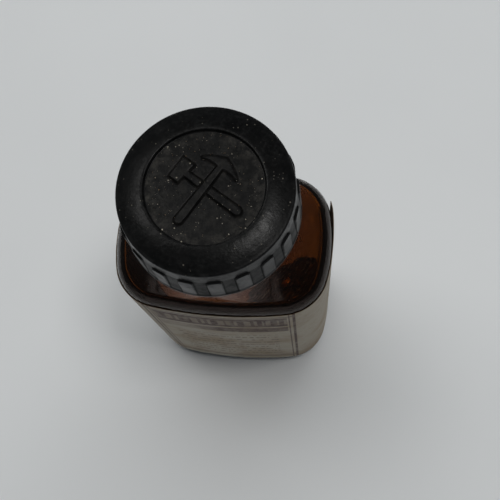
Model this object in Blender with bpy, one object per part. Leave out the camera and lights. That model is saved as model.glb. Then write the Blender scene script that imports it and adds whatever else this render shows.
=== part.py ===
"""Rectangular glass sample bottle with a moulded screw cap, label, liner and gold sample.

Metres, +Z up. The origin is the centre of the base on the surface that the bottle stands on.
-Y is the labelled front, +X is the right-hand side, and +Z is the axis of the neck and the cap.
"""
import math
import random

import bmesh
import bpy
import numpy as np

MM = 0.001
TAU = 2.0 * math.pi

# Bottle body: a rectangle with round corners whose sides bow outwards
BODY_WIDTH = 42.7 * MM
BODY_DEPTH = 30.2 * MM
CORNER_RADIUS = 9.2 * MM
FRONT_BOW = 0.9 * MM
SIDE_BOW = 0.5 * MM
BODY_HEIGHT = 54.2 * MM
SHOULDER_EDGE_RADIUS = 4.0 * MM
SHOULDER_EDGE_TURN = math.radians(60.0)
SHOULDER_RISE = 7.3 * MM
SHOULDER_SLOPE_SHARE = 0.55
HEEL_RADIUS = 2.6 * MM
FOOT_WIDTH = 2.4 * MM
PUSH_UP = 0.7 * MM
WALL = 2.2 * MM
BASE_THICKNESS = 3.4 * MM

# Bottle finish: the plain neck, its bead, the screw thread and the mouth
NECK_LENGTH = 4.6 * MM
FINISH_HEIGHT = 10.8 * MM
NECK_RADIUS = 12.55 * MM
BEAD_PROUD = 0.9 * MM
BEAD_HEIGHT = 1.8 * MM
BEAD_SLOPE_SHARE = 0.3
NECK_WALL = 2.85 * MM
LIP_ROUND = 0.6 * MM
THREAD_PITCH = 4.233 * MM
THREAD_DEPTH = 1.05 * MM
THREAD_CREST = 0.9 * MM
THREAD_BASE = 1.9 * MM
THREAD_FADE = TAU / 12
NECK_PLAIN_TOP = 0.3 * MM
NECK_PLAIN_FOOT = 1.1 * MM

# Cap shell
SKIRT_DEPTH = 7.8 * MM
CAP_WALL = 0.9 * MM
SKIRT_TAPER = 0.6 * MM
FLANGE_PROUD = 0.2 * MM
FLANGE_HEIGHT = 0.6 * MM
EDGE_ROUND = 0.4 * MM
TOP_RISE = 1.2 * MM
PANEL_THICKNESS = 1.7 * MM
RIM_WIDTH = 4.9 * MM
RECESS_DEPTH = 0.7 * MM
LUG_COUNT = 20
LUG_FILL = 0.53
LUG_SIDE_SHARE = 0.03
LUG_TOP_DROP = 2.9 * MM
LUG_PROUD = 0.35 * MM
LUG_PHASE = math.radians(-8.2)
CAP_PLAIN_WALL = 0.2 * MM
CAP_MOUTH_CHAMFER = 0.35 * MM

# Liner: a pulpboard backing and a foil facing
LINER_OVERHANG = 0.45 * MM
BACKING_THICKNESS = 0.9 * MM
FACING_THICKNESS = 0.25 * MM

# Label: paper round the front and both sides, whose right-hand end has lifted
LABEL_THICKNESS = 0.12 * MM
LABEL_BOTTOM = 4.6 * MM
LABEL_OVER_EDGE = 0.6 * MM
LABEL_END = 9.7 * MM
FLAP_LENGTH = 12.0 * MM
FLAP_LIFT = 0.7 * MM

# Sample: a bed of dark sand with gold pieces lying on it
SAND_DEPTH = 5.5 * MM
SAND_CROWN = 1.2 * MM
NUGGET_COUNT = 8
NUGGET_LENGTH = 3.4 * MM
NUGGET_SEED = 11

# Clearances
SEAT_GAP = 0.1 * MM
THREAD_CLEARANCE = 0.35 * MM
LINER_CLEARANCE = 0.3 * MM
LABEL_GAP = 0.08 * MM
SAND_CLEARANCE = 0.3 * MM

# Mesh fineness
BODY_COLUMNS = 72
DISC_SEGMENTS = 48
EDGE_ROWS = 3
SHOULDER_ROWS = 5
HEEL_ROWS = 3
SHARP_ANGLE = math.radians(35.0)

# Heights that follow from the sizes above
NECK_FOOT_Z = BODY_HEIGHT + SHOULDER_EDGE_RADIUS * math.sin(SHOULDER_EDGE_TURN) + SHOULDER_RISE
BEAD_Z = NECK_FOOT_Z + NECK_LENGTH
LIP_Z = BEAD_Z + FINISH_HEIGHT
NECK_WALL_Z = (BEAD_Z + BEAD_HEIGHT, LIP_Z - LIP_ROUND)
FACING_Z = LIP_Z + SEAT_GAP
BACKING_Z = FACING_Z + FACING_THICKNESS + SEAT_GAP
CEILING_Z = BACKING_Z + BACKING_THICKNESS + SEAT_GAP
CAP_FOOT_Z = LIP_Z - SKIRT_DEPTH
CAP_WALL_Z = (CAP_FOOT_Z + CAP_MOUTH_CHAMFER, LIP_Z - LIP_ROUND)
NECK_THREAD_Z = NECK_WALL_Z[0] + NECK_PLAIN_FOOT + THREAD_BASE / 2
NECK_THREAD_TURNS = (NECK_WALL_Z[1] - NECK_PLAIN_TOP - THREAD_BASE / 2 - NECK_THREAD_Z) / THREAD_PITCH
CAP_THREAD_Z = CAP_WALL_Z[0] + CAP_PLAIN_WALL + THREAD_BASE / 2
CAP_THREAD_TURNS = (CAP_WALL_Z[1] - CAP_PLAIN_WALL - THREAD_BASE / 2 - CAP_THREAD_Z) / THREAD_PITCH
CAP_TOP_Z = CEILING_Z + PANEL_THICKNESS + RECESS_DEPTH
CAP_EDGE_Z = CAP_TOP_Z - TOP_RISE
FLOOR_Z = PUSH_UP + BASE_THICKNESS

# Radii that follow from the sizes above
BORE_RADIUS = NECK_RADIUS - NECK_WALL
THREAD_RADIUS = NECK_RADIUS + THREAD_DEPTH
CAP_BORE_RADIUS = THREAD_RADIUS + THREAD_CLEARANCE
CAP_THREAD_RADIUS = NECK_RADIUS + THREAD_CLEARANCE
SKIRT_TOP_RADIUS = CAP_BORE_RADIUS + CAP_WALL
SKIRT_BOTTOM_RADIUS = SKIRT_TOP_RADIUS + SKIRT_TAPER
FLANGE_RADIUS = SKIRT_BOTTOM_RADIUS + FLANGE_PROUD
RECESS_RADIUS = SKIRT_TOP_RADIUS - RIM_WIDTH
LINER_RADIUS = NECK_RADIUS + LINER_OVERHANG
LINER_SEAT_RADIUS = LINER_RADIUS + LINER_CLEARANCE

# Finishes: base colour, roughness, metallic and alpha
FINISHES = {
    "amber_glass": ((0.20, 0.055, 0.012), 0.06, 0.0, 0.55),
    "black_phenolic": ((0.018, 0.018, 0.019), 0.35, 0.0, 1.0),
    "pulpboard": ((0.62, 0.55, 0.42), 0.9, 0.0, 1.0),
    "foil": ((0.75, 0.75, 0.76), 0.3, 1.0, 1.0),
    "aged_paper": ((0.60, 0.54, 0.46), 0.85, 0.0, 1.0),
    "black_sand": ((0.030, 0.028, 0.027), 0.8, 0.2, 1.0),
    "gold": ((0.83, 0.58, 0.20), 0.35, 1.0, 1.0),
}


def clear_scene():
    """Remove whatever objects the opened file holds."""
    for obj in list(bpy.data.objects):
        bpy.data.objects.remove(obj, do_unlink=True)


def make_materials():
    """Make one Principled material for each finish."""
    materials = {}
    for name, (colour, roughness, metallic, alpha) in FINISHES.items():
        material = bpy.data.materials.new(name)
        material.use_nodes = True
        shader = material.node_tree.nodes["Principled BSDF"]
        shader.inputs["Base Color"].default_value = (*colour, 1.0)
        shader.inputs["Roughness"].default_value = roughness
        shader.inputs["Metallic"].default_value = metallic
        shader.inputs["Alpha"].default_value = alpha
        materials[name] = material
    return materials


def finish_mesh(name, mesh_data, material, parent, pivot=(0.0, 0.0, 0.0)):
    """Turn a bmesh, built in world coordinates, into a named object whose origin is pivot."""
    bmesh.ops.recalc_face_normals(mesh_data, faces=mesh_data.faces)
    bmesh.ops.translate(mesh_data, vec=[-value for value in pivot], verts=mesh_data.verts)
    mesh = bpy.data.meshes.new(name)
    mesh_data.to_mesh(mesh)
    mesh_data.free()
    mesh.materials.append(material)
    mesh.shade_smooth()
    mesh.set_sharp_from_angle(angle=SHARP_ANGLE)
    obj = bpy.data.objects.new(name, mesh)
    bpy.context.scene.collection.objects.link(obj)
    obj.parent = parent
    obj.location = [value - base for value, base in zip(pivot, parent.location)]
    return obj


def make_axis(name, height):
    """Place an empty on the neck's axis, to carry the pieces of one body."""
    axis = bpy.data.objects.new(name, None)
    axis.empty_display_size = 10 * MM
    axis.location = (0.0, 0.0, height)
    bpy.context.scene.collection.objects.link(axis)
    return axis


# Outlines -----------------------------------------------------------------------------------


def side_arc(half_length, sagitta, samples):
    """Points of an arc over a chord of 2 * half_length, as (along, outwards), and its end slope."""
    radius = (half_length ** 2 + sagitta ** 2) / (2.0 * sagitta)
    end_angle = math.asin(half_length / radius)
    angles = np.linspace(-end_angle, end_angle, samples)
    along = radius * np.sin(angles)
    outwards = radius * np.cos(angles) - radius + sagitta
    return along, outwards, end_angle


def body_outline(inset, angles):
    """Bowed rectangle with tangent corner arcs, met by rays from its centre at the given angles."""
    samples = 60
    corner = CORNER_RADIUS
    core_x = BODY_WIDTH / 2 - SIDE_BOW - corner
    core_y = BODY_DEPTH / 2 - FRONT_BOW - corner
    reach = corner - inset
    along_x, bow_y, slope_x = side_arc(core_x, FRONT_BOW, samples)
    along_y, bow_x, slope_y = side_arc(core_y, SIDE_BOW, samples)
    lean_x = np.linspace(-slope_x, slope_x, samples)
    lean_y = np.linspace(-slope_y, slope_y, samples)
    right = np.stack([core_x + bow_x + reach * np.cos(lean_y), along_y + reach * np.sin(lean_y)], 1)
    back = np.stack([-along_x - reach * np.sin(lean_x), core_y + bow_y + reach * np.cos(lean_x)], 1)
    turn = np.linspace(slope_y, math.pi / 2 - slope_x, samples)
    bend = np.stack([core_x + reach * np.cos(turn), core_y + reach * np.sin(turn)], 1)
    first_half = np.concatenate([right, bend[1:-1], back, (bend[1:-1] * [-1, 1])[::-1]])
    loop = np.concatenate([first_half, -first_half])
    ray = np.unwrap(np.arctan2(loop[:, 1], loop[:, 0]))
    ray = np.concatenate([ray, [ray[0] + TAU]])
    loop = np.concatenate([loop, loop[:1]])
    wanted = ray[0] + np.mod(np.asarray(angles) - ray[0], TAU)
    return np.stack([np.interp(wanted, ray, loop[:, 0]), np.interp(wanted, ray, loop[:, 1])], 1)


def circle(radius, angles):
    """Points of a circle at the given angles; radius is one value or one for each angle."""
    return np.stack([radius * np.cos(angles), radius * np.sin(angles)], 1)


def even_angles(count):
    """Angles of count columns, evenly spaced, starting on +X."""
    return np.arange(count) * TAU / count


# Mesh building ------------------------------------------------------------------------------


def add_ring(mesh_data, points, height):
    """Add one closed ring of vertices; height is one value or one for each point."""
    heights = np.broadcast_to(height, len(points))
    return [mesh_data.verts.new((x, y, z)) for (x, y), z in zip(points, heights)]


def bridge(mesh_data, lower, upper):
    """Join two rings of the same length with quads."""
    count = len(lower)
    for i in range(count):
        j = (i + 1) % count
        mesh_data.faces.new((lower[i], lower[j], upper[j], upper[i]))


def loft(mesh_data, rings):
    """Join each ring to the next."""
    for lower, upper in zip(rings, rings[1:]):
        bridge(mesh_data, lower, upper)


def zip_columns(mesh_data, left, right):
    """Join two columns of vertices, each sorted by height, with a strip of triangles."""
    i = 0
    j = 0
    while i < len(left) - 1 or j < len(right) - 1:
        step_left = j == len(right) - 1 or (
            i < len(left) - 1 and left[i + 1].co.z <= right[j + 1].co.z
        )
        if step_left:
            mesh_data.faces.new((left[i], right[j], left[i + 1]))
            i += 1
        else:
            mesh_data.faces.new((left[i], right[j], right[j + 1]))
            j += 1


def thread_rows(swept, start_height, turns, spare):
    """Heights and fullness of the thread's four corners wherever it crosses one column."""
    corners = (
        (-THREAD_BASE / 2, 0.0),
        (-THREAD_CREST / 2, 1.0),
        (THREAD_CREST / 2, 1.0),
        (THREAD_BASE / 2, 0.0),
    )
    rows = []
    while swept < turns * TAU + spare:
        fullness = max(0.0, min(1.0, swept / THREAD_FADE, (turns * TAU - swept) / THREAD_FADE))
        centre = start_height + THREAD_PITCH * min(swept / TAU, turns)
        rows += [(centre + offset, share * fullness) for offset, share in corners]
        swept += TAU
    return rows


def threaded_wall(mesh_data, lower, upper, angles, radii, start_angle, start_height, turns):
    """Fill between two rings with a wall whose right-handed thread runs from root to crest radius."""
    root, crest = radii
    ahead = np.mod(angles - start_angle, TAU)
    lead = ahead.min()
    spare = 1.5 * np.diff(np.sort(ahead)).max()
    columns = []
    for bottom, top, angle, swept in zip(lower, upper, angles, ahead - lead):
        column = [bottom]
        foot = start_height + THREAD_PITCH * lead / TAU
        for height, share in thread_rows(swept, foot, turns - lead / TAU, spare):
            radius = root + (crest - root) * share
            column.append(mesh_data.verts.new((radius * math.cos(angle), radius * math.sin(angle), height)))
        columns.append(column + [top])
    for left, right in zip(columns, columns[1:] + columns[:1]):
        zip_columns(mesh_data, left, right)


def turned(mesh_data, profile, angles):
    """Turn a list of (radius, height) into a closed solid, with flat discs at both ends."""
    rings = [add_ring(mesh_data, circle(radius, angles), height) for radius, height in profile]
    loft(mesh_data, rings)
    mesh_data.faces.new(rings[0][::-1])
    mesh_data.faces.new(rings[-1])


# Bottle -------------------------------------------------------------------------------------


def arc_steps(rows):
    """Angles of a quarter turn in equal steps, without the first."""
    return np.linspace(0.0, math.pi / 2, rows + 1)[1:]


def bottle_shoulder(mesh_data, angles, inset, radius):
    """Round the body's top edge, then slope up to the neck's circle and turn upright there."""
    edge_radius = SHOULDER_EDGE_RADIUS - inset
    rings = []
    for turn in np.linspace(0.0, SHOULDER_EDGE_TURN, EDGE_ROWS + 1):
        points = body_outline(inset + edge_radius * (1.0 - math.cos(turn)), angles)
        height = BODY_HEIGHT + edge_radius * math.sin(turn)
        rings.append(add_ring(mesh_data, points, height))
    neck = circle(radius, angles)
    for share in np.sin(arc_steps(SHOULDER_ROWS)):
        bend = 1.0 - math.sqrt(1.0 - min(1.0, share) ** 2)
        climb = SHOULDER_SLOPE_SHARE * share + (1.0 - SHOULDER_SLOPE_SHARE) * bend
        rings.append(add_ring(mesh_data, points + (neck - points) * share, height + SHOULDER_RISE * climb))
    return rings


def build_bottle(materials, parent):
    """One-piece glass bottle: outer skin from the base up to the lip, then the inside."""
    mesh_data = bmesh.new()
    angles = even_angles(BODY_COLUMNS)
    outer = [
        add_ring(mesh_data, body_outline(HEEL_RADIUS + FOOT_WIDTH + PUSH_UP, angles), PUSH_UP),
        add_ring(mesh_data, body_outline(HEEL_RADIUS + FOOT_WIDTH, angles), 0.0),
        add_ring(mesh_data, body_outline(HEEL_RADIUS, angles), 0.0),
    ]
    for turn in arc_steps(HEEL_ROWS):
        inset = HEEL_RADIUS * (1.0 - math.sin(turn))
        outer.append(add_ring(mesh_data, body_outline(inset, angles), HEEL_RADIUS * (1.0 - math.cos(turn))))
    outer += bottle_shoulder(mesh_data, angles, 0.0, NECK_RADIUS)
    bead = NECK_RADIUS + BEAD_PROUD
    bead_slope = BEAD_HEIGHT * BEAD_SLOPE_SHARE
    outer += [
        add_ring(mesh_data, circle(NECK_RADIUS, angles), BEAD_Z),
        add_ring(mesh_data, circle(bead, angles), BEAD_Z + bead_slope),
        add_ring(mesh_data, circle(bead, angles), NECK_WALL_Z[0] - bead_slope),
        add_ring(mesh_data, circle(NECK_RADIUS, angles), NECK_WALL_Z[0]),
    ]
    loft(mesh_data, outer)
    mesh_data.faces.new(outer[0][::-1])

    lip_outer = add_ring(mesh_data, circle(NECK_RADIUS, angles), LIP_Z - LIP_ROUND)
    threaded_wall(mesh_data, outer[-1], lip_outer, angles, (NECK_RADIUS, THREAD_RADIUS),
                  0.0, NECK_THREAD_Z, NECK_THREAD_TURNS)
    inner = [
        lip_outer,
        add_ring(mesh_data, circle(NECK_RADIUS - LIP_ROUND, angles), LIP_Z),
        add_ring(mesh_data, circle(BORE_RADIUS + LIP_ROUND, angles), LIP_Z),
        add_ring(mesh_data, circle(BORE_RADIUS, angles), LIP_Z - LIP_ROUND),
    ]
    inner += bottle_shoulder(mesh_data, angles, WALL, BORE_RADIUS)[::-1]
    inner.append(add_ring(mesh_data, body_outline(WALL, angles), FLOOR_Z + HEEL_RADIUS))
    inner.append(add_ring(mesh_data, body_outline(WALL + HEEL_RADIUS, angles), FLOOR_Z))
    loft(mesh_data, inner)
    mesh_data.faces.new(inner[-1])
    return finish_mesh("bottle", mesh_data, materials["amber_glass"], parent)


# Cap ----------------------------------------------------------------------------------------


def skirt_radius(height):
    """Radius of the tapering skirt at a height."""
    span = CAP_EDGE_Z - (CAP_FOOT_Z + FLANGE_HEIGHT)
    share = (height - CAP_FOOT_Z - FLANGE_HEIGHT) / span
    return SKIRT_BOTTOM_RADIUS + (SKIRT_TOP_RADIUS - SKIRT_BOTTOM_RADIUS) * share


def cap_angles():
    """Angles of the cap's columns, four for each lug, and which of them stand on a lug."""
    pitch = TAU / LUG_COUNT
    half = pitch * LUG_FILL / 2
    side = pitch * LUG_SIDE_SHARE
    angles = []
    raised = []
    for lug in range(LUG_COUNT):
        centre = LUG_PHASE + lug * pitch
        angles += [centre - half - side, centre - half + side, centre + half - side, centre + half + side]
        raised += [False, True, True, False]
    return np.array(angles), np.array(raised)


def build_cap_shell(materials, parent, pivot):
    """Moulded shell: flange, lugs, skirt, sunk top panel, and the thread inside."""
    mesh_data = bmesh.new()
    angles, raised = cap_angles()
    ledge_z = CAP_FOOT_Z + FLANGE_HEIGHT
    lug_z = CAP_EDGE_Z - LUG_TOP_DROP
    lug_slope_z = lug_z + LUG_PROUD
    lug_foot = (SKIRT_BOTTOM_RADIUS + FLANGE_RADIUS) / 2 + LUG_PROUD / 4
    lug_head = skirt_radius(lug_z) + LUG_PROUD
    chamfer = EDGE_ROUND * 0.3
    panel_z = CAP_TOP_Z - RECESS_DEPTH
    recess_lip = RECESS_RADIUS + EDGE_ROUND
    outer = [
        add_ring(mesh_data, circle(CAP_BORE_RADIUS + CAP_MOUTH_CHAMFER, angles), CAP_FOOT_Z),
        add_ring(mesh_data, circle(FLANGE_RADIUS, angles), CAP_FOOT_Z),
        add_ring(mesh_data, circle(FLANGE_RADIUS, angles), ledge_z),
        add_ring(mesh_data, circle(np.where(raised, lug_foot, SKIRT_BOTTOM_RADIUS), angles), ledge_z),
        add_ring(mesh_data, circle(np.where(raised, lug_head, skirt_radius(lug_z)), angles), lug_z),
        add_ring(mesh_data, circle(skirt_radius(lug_slope_z), angles), lug_slope_z),
        add_ring(mesh_data, circle(SKIRT_TOP_RADIUS, angles), CAP_EDGE_Z - EDGE_ROUND),
        add_ring(mesh_data, circle(SKIRT_TOP_RADIUS - chamfer, angles), CAP_EDGE_Z - chamfer),
        add_ring(mesh_data, circle(SKIRT_TOP_RADIUS - EDGE_ROUND, angles), CAP_EDGE_Z),
        add_ring(mesh_data, circle(recess_lip, angles), CAP_TOP_Z),
        add_ring(mesh_data, circle(RECESS_RADIUS, angles), CAP_TOP_Z - EDGE_ROUND / 2),
        add_ring(mesh_data, circle(RECESS_RADIUS, angles), panel_z),
    ]
    loft(mesh_data, outer)
    mesh_data.faces.new(outer[-1])

    mouth = add_ring(mesh_data, circle(CAP_BORE_RADIUS, angles), CAP_WALL_Z[0])
    wall_top = add_ring(mesh_data, circle(CAP_BORE_RADIUS, angles), CAP_WALL_Z[1])
    bridge(mesh_data, outer[0], mouth)
    start_angle = TAU * (CAP_THREAD_Z - NECK_THREAD_Z + THREAD_PITCH / 2) / THREAD_PITCH
    threaded_wall(mesh_data, mouth, wall_top, angles, (CAP_BORE_RADIUS, CAP_THREAD_RADIUS),
                  start_angle, CAP_THREAD_Z, CAP_THREAD_TURNS)
    seat = [
        wall_top,
        add_ring(mesh_data, circle(LINER_SEAT_RADIUS, angles), LIP_Z),
        add_ring(mesh_data, circle(LINER_SEAT_RADIUS, angles), CEILING_Z),
    ]
    loft(mesh_data, seat)
    mesh_data.faces.new(seat[-1])
    return finish_mesh("cap_shell", mesh_data, materials["black_phenolic"], parent, pivot)


def build_liner(materials, parent, pivot):
    """Two discs that ride in the cap and close on the lip."""
    angles = even_angles(DISC_SEGMENTS)
    backing = bmesh.new()
    turned(backing, [(LINER_RADIUS, BACKING_Z), (LINER_RADIUS, BACKING_Z + BACKING_THICKNESS)], angles)
    finish_mesh("liner_backing", backing, materials["pulpboard"], parent, pivot)
    facing = bmesh.new()
    turned(facing, [(LINER_RADIUS, FACING_Z), (LINER_RADIUS, FACING_Z + FACING_THICKNESS)], angles)
    finish_mesh("liner_facing", facing, materials["foil"], parent, pivot)


# Label --------------------------------------------------------------------------------------


def label_columns():
    """Angles that the label covers, from its left-hand end round the front to the lifted end."""
    end_angle = math.atan2(LABEL_END, BODY_WIDTH / 2 - SIDE_BOW)
    step = TAU / BODY_COLUMNS
    inside = np.arange(math.ceil((-math.pi - end_angle) / step), math.floor(end_angle / step) + 1) * step
    return np.concatenate([[-math.pi - end_angle], inside, [end_angle]])


def build_label(materials, parent):
    """Paper strip that follows the glass at a small gap and leaves it towards its right-hand end."""
    mesh_data = bmesh.new()
    angles = label_columns()
    glass = body_outline(0.0, angles)
    steps = np.linalg.norm(np.diff(glass, axis=0), axis=1)
    to_end = np.concatenate([np.cumsum(steps[::-1])[::-1], [0.0]])
    lift = FLAP_LIFT * np.clip(1.0 - to_end / FLAP_LENGTH, 0.0, 1.0) ** 2
    outwards = body_outline(-LABEL_THICKNESS, angles) - glass
    outwards /= np.linalg.norm(outwards, axis=1)[:, None]
    inner = glass + outwards * (LABEL_GAP + lift)[:, None]
    outer = inner + outwards * LABEL_THICKNESS
    strip = np.concatenate([inner, outer[::-1]])
    top_z = BODY_HEIGHT + LABEL_OVER_EDGE
    low = add_ring(mesh_data, strip, LABEL_BOTTOM)
    high = add_ring(mesh_data, strip, top_z)
    bridge(mesh_data, low, high)
    last = len(strip) - 1
    for i in range(len(angles) - 1):
        mesh_data.faces.new((low[i], low[last - i], low[last - i - 1], low[i + 1]))
        mesh_data.faces.new((high[i], high[i + 1], high[last - i - 1], high[last - i]))
    return finish_mesh("label", mesh_data, materials["aged_paper"], parent)


# Sample -------------------------------------------------------------------------------------


def sand_height(x, y):
    """Height of the sand's surface: level at the glass and crowned in the middle."""
    half_width = BODY_WIDTH / 2 - WALL
    half_depth = BODY_DEPTH / 2 - WALL
    spread = (x / half_width) ** 2 + (y / half_depth) ** 2
    return FLOOR_Z + SAND_DEPTH + SAND_CROWN * math.cos(min(1.0, spread) * math.pi / 2)


def build_sand(materials, parent):
    """Bed of sand on the bottle's floor, clear of the glass all round."""
    mesh_data = bmesh.new()
    angles = even_angles(DISC_SEGMENTS)
    foot_z = FLOOR_Z + SAND_CLEARANCE
    side = WALL + SAND_CLEARANCE
    rim = body_outline(side, angles)
    rings = [
        add_ring(mesh_data, body_outline(side + HEEL_RADIUS, angles), foot_z),
        add_ring(mesh_data, rim, foot_z + HEEL_RADIUS),
    ]
    for share in (1.0, 0.75, 0.5, 0.25):
        points = rim * share
        rings.append(add_ring(mesh_data, points, [sand_height(x, y) for x, y in points]))
    loft(mesh_data, rings)
    mesh_data.faces.new(rings[0][::-1])
    centre = mesh_data.verts.new((0.0, 0.0, sand_height(0.0, 0.0)))
    for left, right in zip(rings[-1], rings[-1][1:] + rings[-1][:1]):
        mesh_data.faces.new((left, right, centre))
    return finish_mesh("sample_sand", mesh_data, materials["black_sand"], parent)


def build_nuggets(materials, parent):
    """Small rounded gold pieces, set out on an oval over the sand."""
    chance = random.Random(NUGGET_SEED)
    for number in range(NUGGET_COUNT):
        size = NUGGET_LENGTH / 2 * chance.uniform(0.7, 1.2)
        angle = TAU * number / NUGGET_COUNT + chance.uniform(-0.2, 0.2)
        reach = chance.uniform(0.45, 0.68)
        x = reach * (BODY_WIDTH / 2 - WALL) * math.cos(angle)
        y = reach * (BODY_DEPTH / 2 - WALL) * math.sin(angle)
        stretch = [size * chance.uniform(0.75, 1.1), size * chance.uniform(0.6, 0.9), size * 0.45]
        mesh_data = bmesh.new()
        bmesh.ops.create_icosphere(mesh_data, subdivisions=2, radius=1.0)
        for vert in mesh_data.verts:
            vert.co *= chance.uniform(0.86, 1.06)
            vert.co.x *= stretch[0]
            vert.co.y *= stretch[1]
            vert.co.z *= stretch[2]
        lowest = min(vert.co.z for vert in mesh_data.verts)
        z = sand_height(x, y) + SAND_CLEARANCE - lowest
        bmesh.ops.translate(mesh_data, vec=(x, y, z), verts=mesh_data.verts)
        finish_mesh(f"nugget_{number + 1}", mesh_data, materials["gold"], parent, (x, y, z))


def main():
    """Build every piece and hang it on the empty of the body that it moves with."""
    clear_scene()
    materials = make_materials()
    bottle_frame = make_axis("bottle_frame", 0.0)
    lift_axis = make_axis("cap_lift_axis", LIP_Z)
    turn_axis = make_axis("cap_turn_axis", LIP_Z)
    axis_point = (0.0, 0.0, LIP_Z)
    build_bottle(materials, bottle_frame)
    build_label(materials, bottle_frame)
    build_sand(materials, bottle_frame)
    build_nuggets(materials, bottle_frame)
    build_liner(materials, lift_axis, axis_point)
    build_cap_shell(materials, turn_axis, axis_point)


main()
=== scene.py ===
"""Dressed model of an old amber sample bottle: glass, screw cap, liner, label and gold sample.

Lengths are in metres. The bottle stands on the floor with its neck's axis along +Z, its
labelled front towards -Y and its right-hand side towards +X. The overall sizes are read from
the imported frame, and each class holds the finer sizes of its own piece.
"""
import logging
import math
from dataclasses import dataclass
from enum import Enum
from typing import Any, Iterable, Optional, Sequence

import bpy
import numpy as np
from mathutils import Matrix, Vector


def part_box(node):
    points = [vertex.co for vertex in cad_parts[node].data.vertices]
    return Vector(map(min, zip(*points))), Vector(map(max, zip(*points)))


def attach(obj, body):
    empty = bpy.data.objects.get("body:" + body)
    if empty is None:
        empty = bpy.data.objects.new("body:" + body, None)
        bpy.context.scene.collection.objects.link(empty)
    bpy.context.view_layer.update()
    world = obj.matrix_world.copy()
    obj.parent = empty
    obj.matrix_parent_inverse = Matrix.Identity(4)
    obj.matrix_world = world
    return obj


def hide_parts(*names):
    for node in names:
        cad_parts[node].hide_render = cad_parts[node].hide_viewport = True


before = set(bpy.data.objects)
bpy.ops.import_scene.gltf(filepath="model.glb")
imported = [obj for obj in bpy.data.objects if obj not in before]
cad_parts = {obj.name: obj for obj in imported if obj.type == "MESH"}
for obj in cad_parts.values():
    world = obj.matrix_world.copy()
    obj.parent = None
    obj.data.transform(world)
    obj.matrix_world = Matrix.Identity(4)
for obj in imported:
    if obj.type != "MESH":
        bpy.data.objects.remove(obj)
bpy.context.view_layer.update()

MM = 0.001
TAU = 2.0 * math.pi
LOG = logging.getLogger("sample_bottle")

Array = np.ndarray
Colour = tuple[float, float, float]
Point = tuple[float, float, float]
Pair = tuple[float, float]
Object = bpy.types.Object
Socket = bpy.types.NodeSocket
Material = bpy.types.Material


class Body(Enum):
    """The rigid bodies that pieces move with."""

    BOTTLE = "bottle"
    LINER = "liner"
    CAP = "cap"


class Slot(Enum):
    """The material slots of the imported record."""

    GLASS = "amber_glass"
    PHENOLIC = "black_phenolic"
    BOARD = "pulpboard"
    FOIL = "foil"
    PAPER = "aged_paper"
    SAND = "black_sand"
    GOLD = "gold"


# Arrays -------------------------------------------------------------------------------------


def smooth_step(low: float, high: float, value: Array) -> Array:
    """Rise from 0 at low to 1 at high along 3t^2 - 2t^3, where t is the share of the way.

    Args:
        low: Value at which the result leaves 0. It may be above high, for a fall.
        high: Value at which the result reaches 1.
        value: Values to map.

    Returns:
        Values between 0 and 1.
    """
    share = np.clip((np.asarray(value) - low) / (high - low), 0.0, 1.0)
    return share * share * (3.0 - 2.0 * share)


def lattice_noise(points: Array, cell: float, seed: int) -> Array:
    """Value noise: random numbers on a cubic lattice, blended smoothly between its corners.

    Args:
        points: Points, with x, y and z along the last axis.
        cell: Lattice spacing, in metres.
        seed: Picks the lattice's numbers.

    Returns:
        One value between -1 and 1 for each point.
    """
    scaled = np.asarray(points) / cell
    base = np.floor(scaled).astype(np.int64)
    part = scaled - base
    part = part * part * (3.0 - 2.0 * part)
    total = np.zeros(scaled.shape[:-1])
    for corner in np.ndindex(2, 2, 2):
        index = base + np.array(corner)
        mixed = index[..., 0] * 73856093 ^ index[..., 1] * 19349663 ^ index[..., 2] * 83492791
        mixed = (mixed + seed * 2654435761) & 0x7FFFFFFF
        mixed = (mixed ^ (mixed >> 13)) * 1274126177 & 0x7FFFFFFF
        mixed = mixed ^ (mixed >> 16)
        value = (mixed % 65536) / 32767.5 - 1.0
        weight = np.prod(np.where(np.array(corner) == 1, part, 1.0 - part), axis=-1)
        total += value * weight
    return total


def layered_noise(points: Array, cell: float, seed: int, layers: int = 3) -> Array:
    """Sum of lattice noise whose cell and strength both halve from one layer to the next.

    Args:
        points: Points, with x, y and z along the last axis.
        cell: Lattice spacing of the coarsest layer, in metres.
        seed: Picks the lattice's numbers.
        layers: How many layers to add.

    Returns:
        One value, roughly between -1 and 1, for each point.
    """
    total = np.zeros(np.asarray(points).shape[:-1])
    for layer in range(layers):
        total += lattice_noise(points, cell / 2 ** layer, seed + layer) / 2 ** layer
    return total / 1.6


def join_rows(*pieces: Sequence[Sequence[float]]) -> Array:
    """Stack short tables of numbers into one array, one row each."""
    return np.concatenate([np.atleast_2d(np.asarray(piece, float)) for piece in pieces])


def arc_rows(centre: Pair, radius: float, start: float, end: float, count: int) -> Array:
    """Points (radius, height) of an arc in the profile plane: centre plus radius at each angle.

    Args:
        centre: Centre of the arc, as (radius, height).
        radius: The arc's own radius.
        start: First angle in degrees, from outwards towards up.
        end: Last angle in degrees.
        count: Number of points.

    Returns:
        Array of (count, 2).
    """
    turn = np.radians(np.linspace(start, end, count))
    return np.stack([centre[0] + radius * np.cos(turn), centre[1] + radius * np.sin(turn)], 1)


def refined(profile: Array, step: float) -> Array:
    """Put extra points on each straight run of a profile, so that none is longer than step.

    Args:
        profile: Points of the profile, one row each; every column is filled in evenly.
        step: Longest run to leave, measured on the first two columns.

    Returns:
        The profile with the extra rows.
    """
    runs = np.linalg.norm(np.diff(profile[:, :2], axis=0), axis=1)
    counts = np.maximum(1, np.ceil(runs / step).astype(int))
    place = np.concatenate([i + np.arange(n) / n for i, n in enumerate(counts)] + [[len(runs)]])
    index = np.arange(len(profile))
    return np.stack([np.interp(place, index, column) for column in profile.T], 1)


# Meshes -------------------------------------------------------------------------------------


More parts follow.
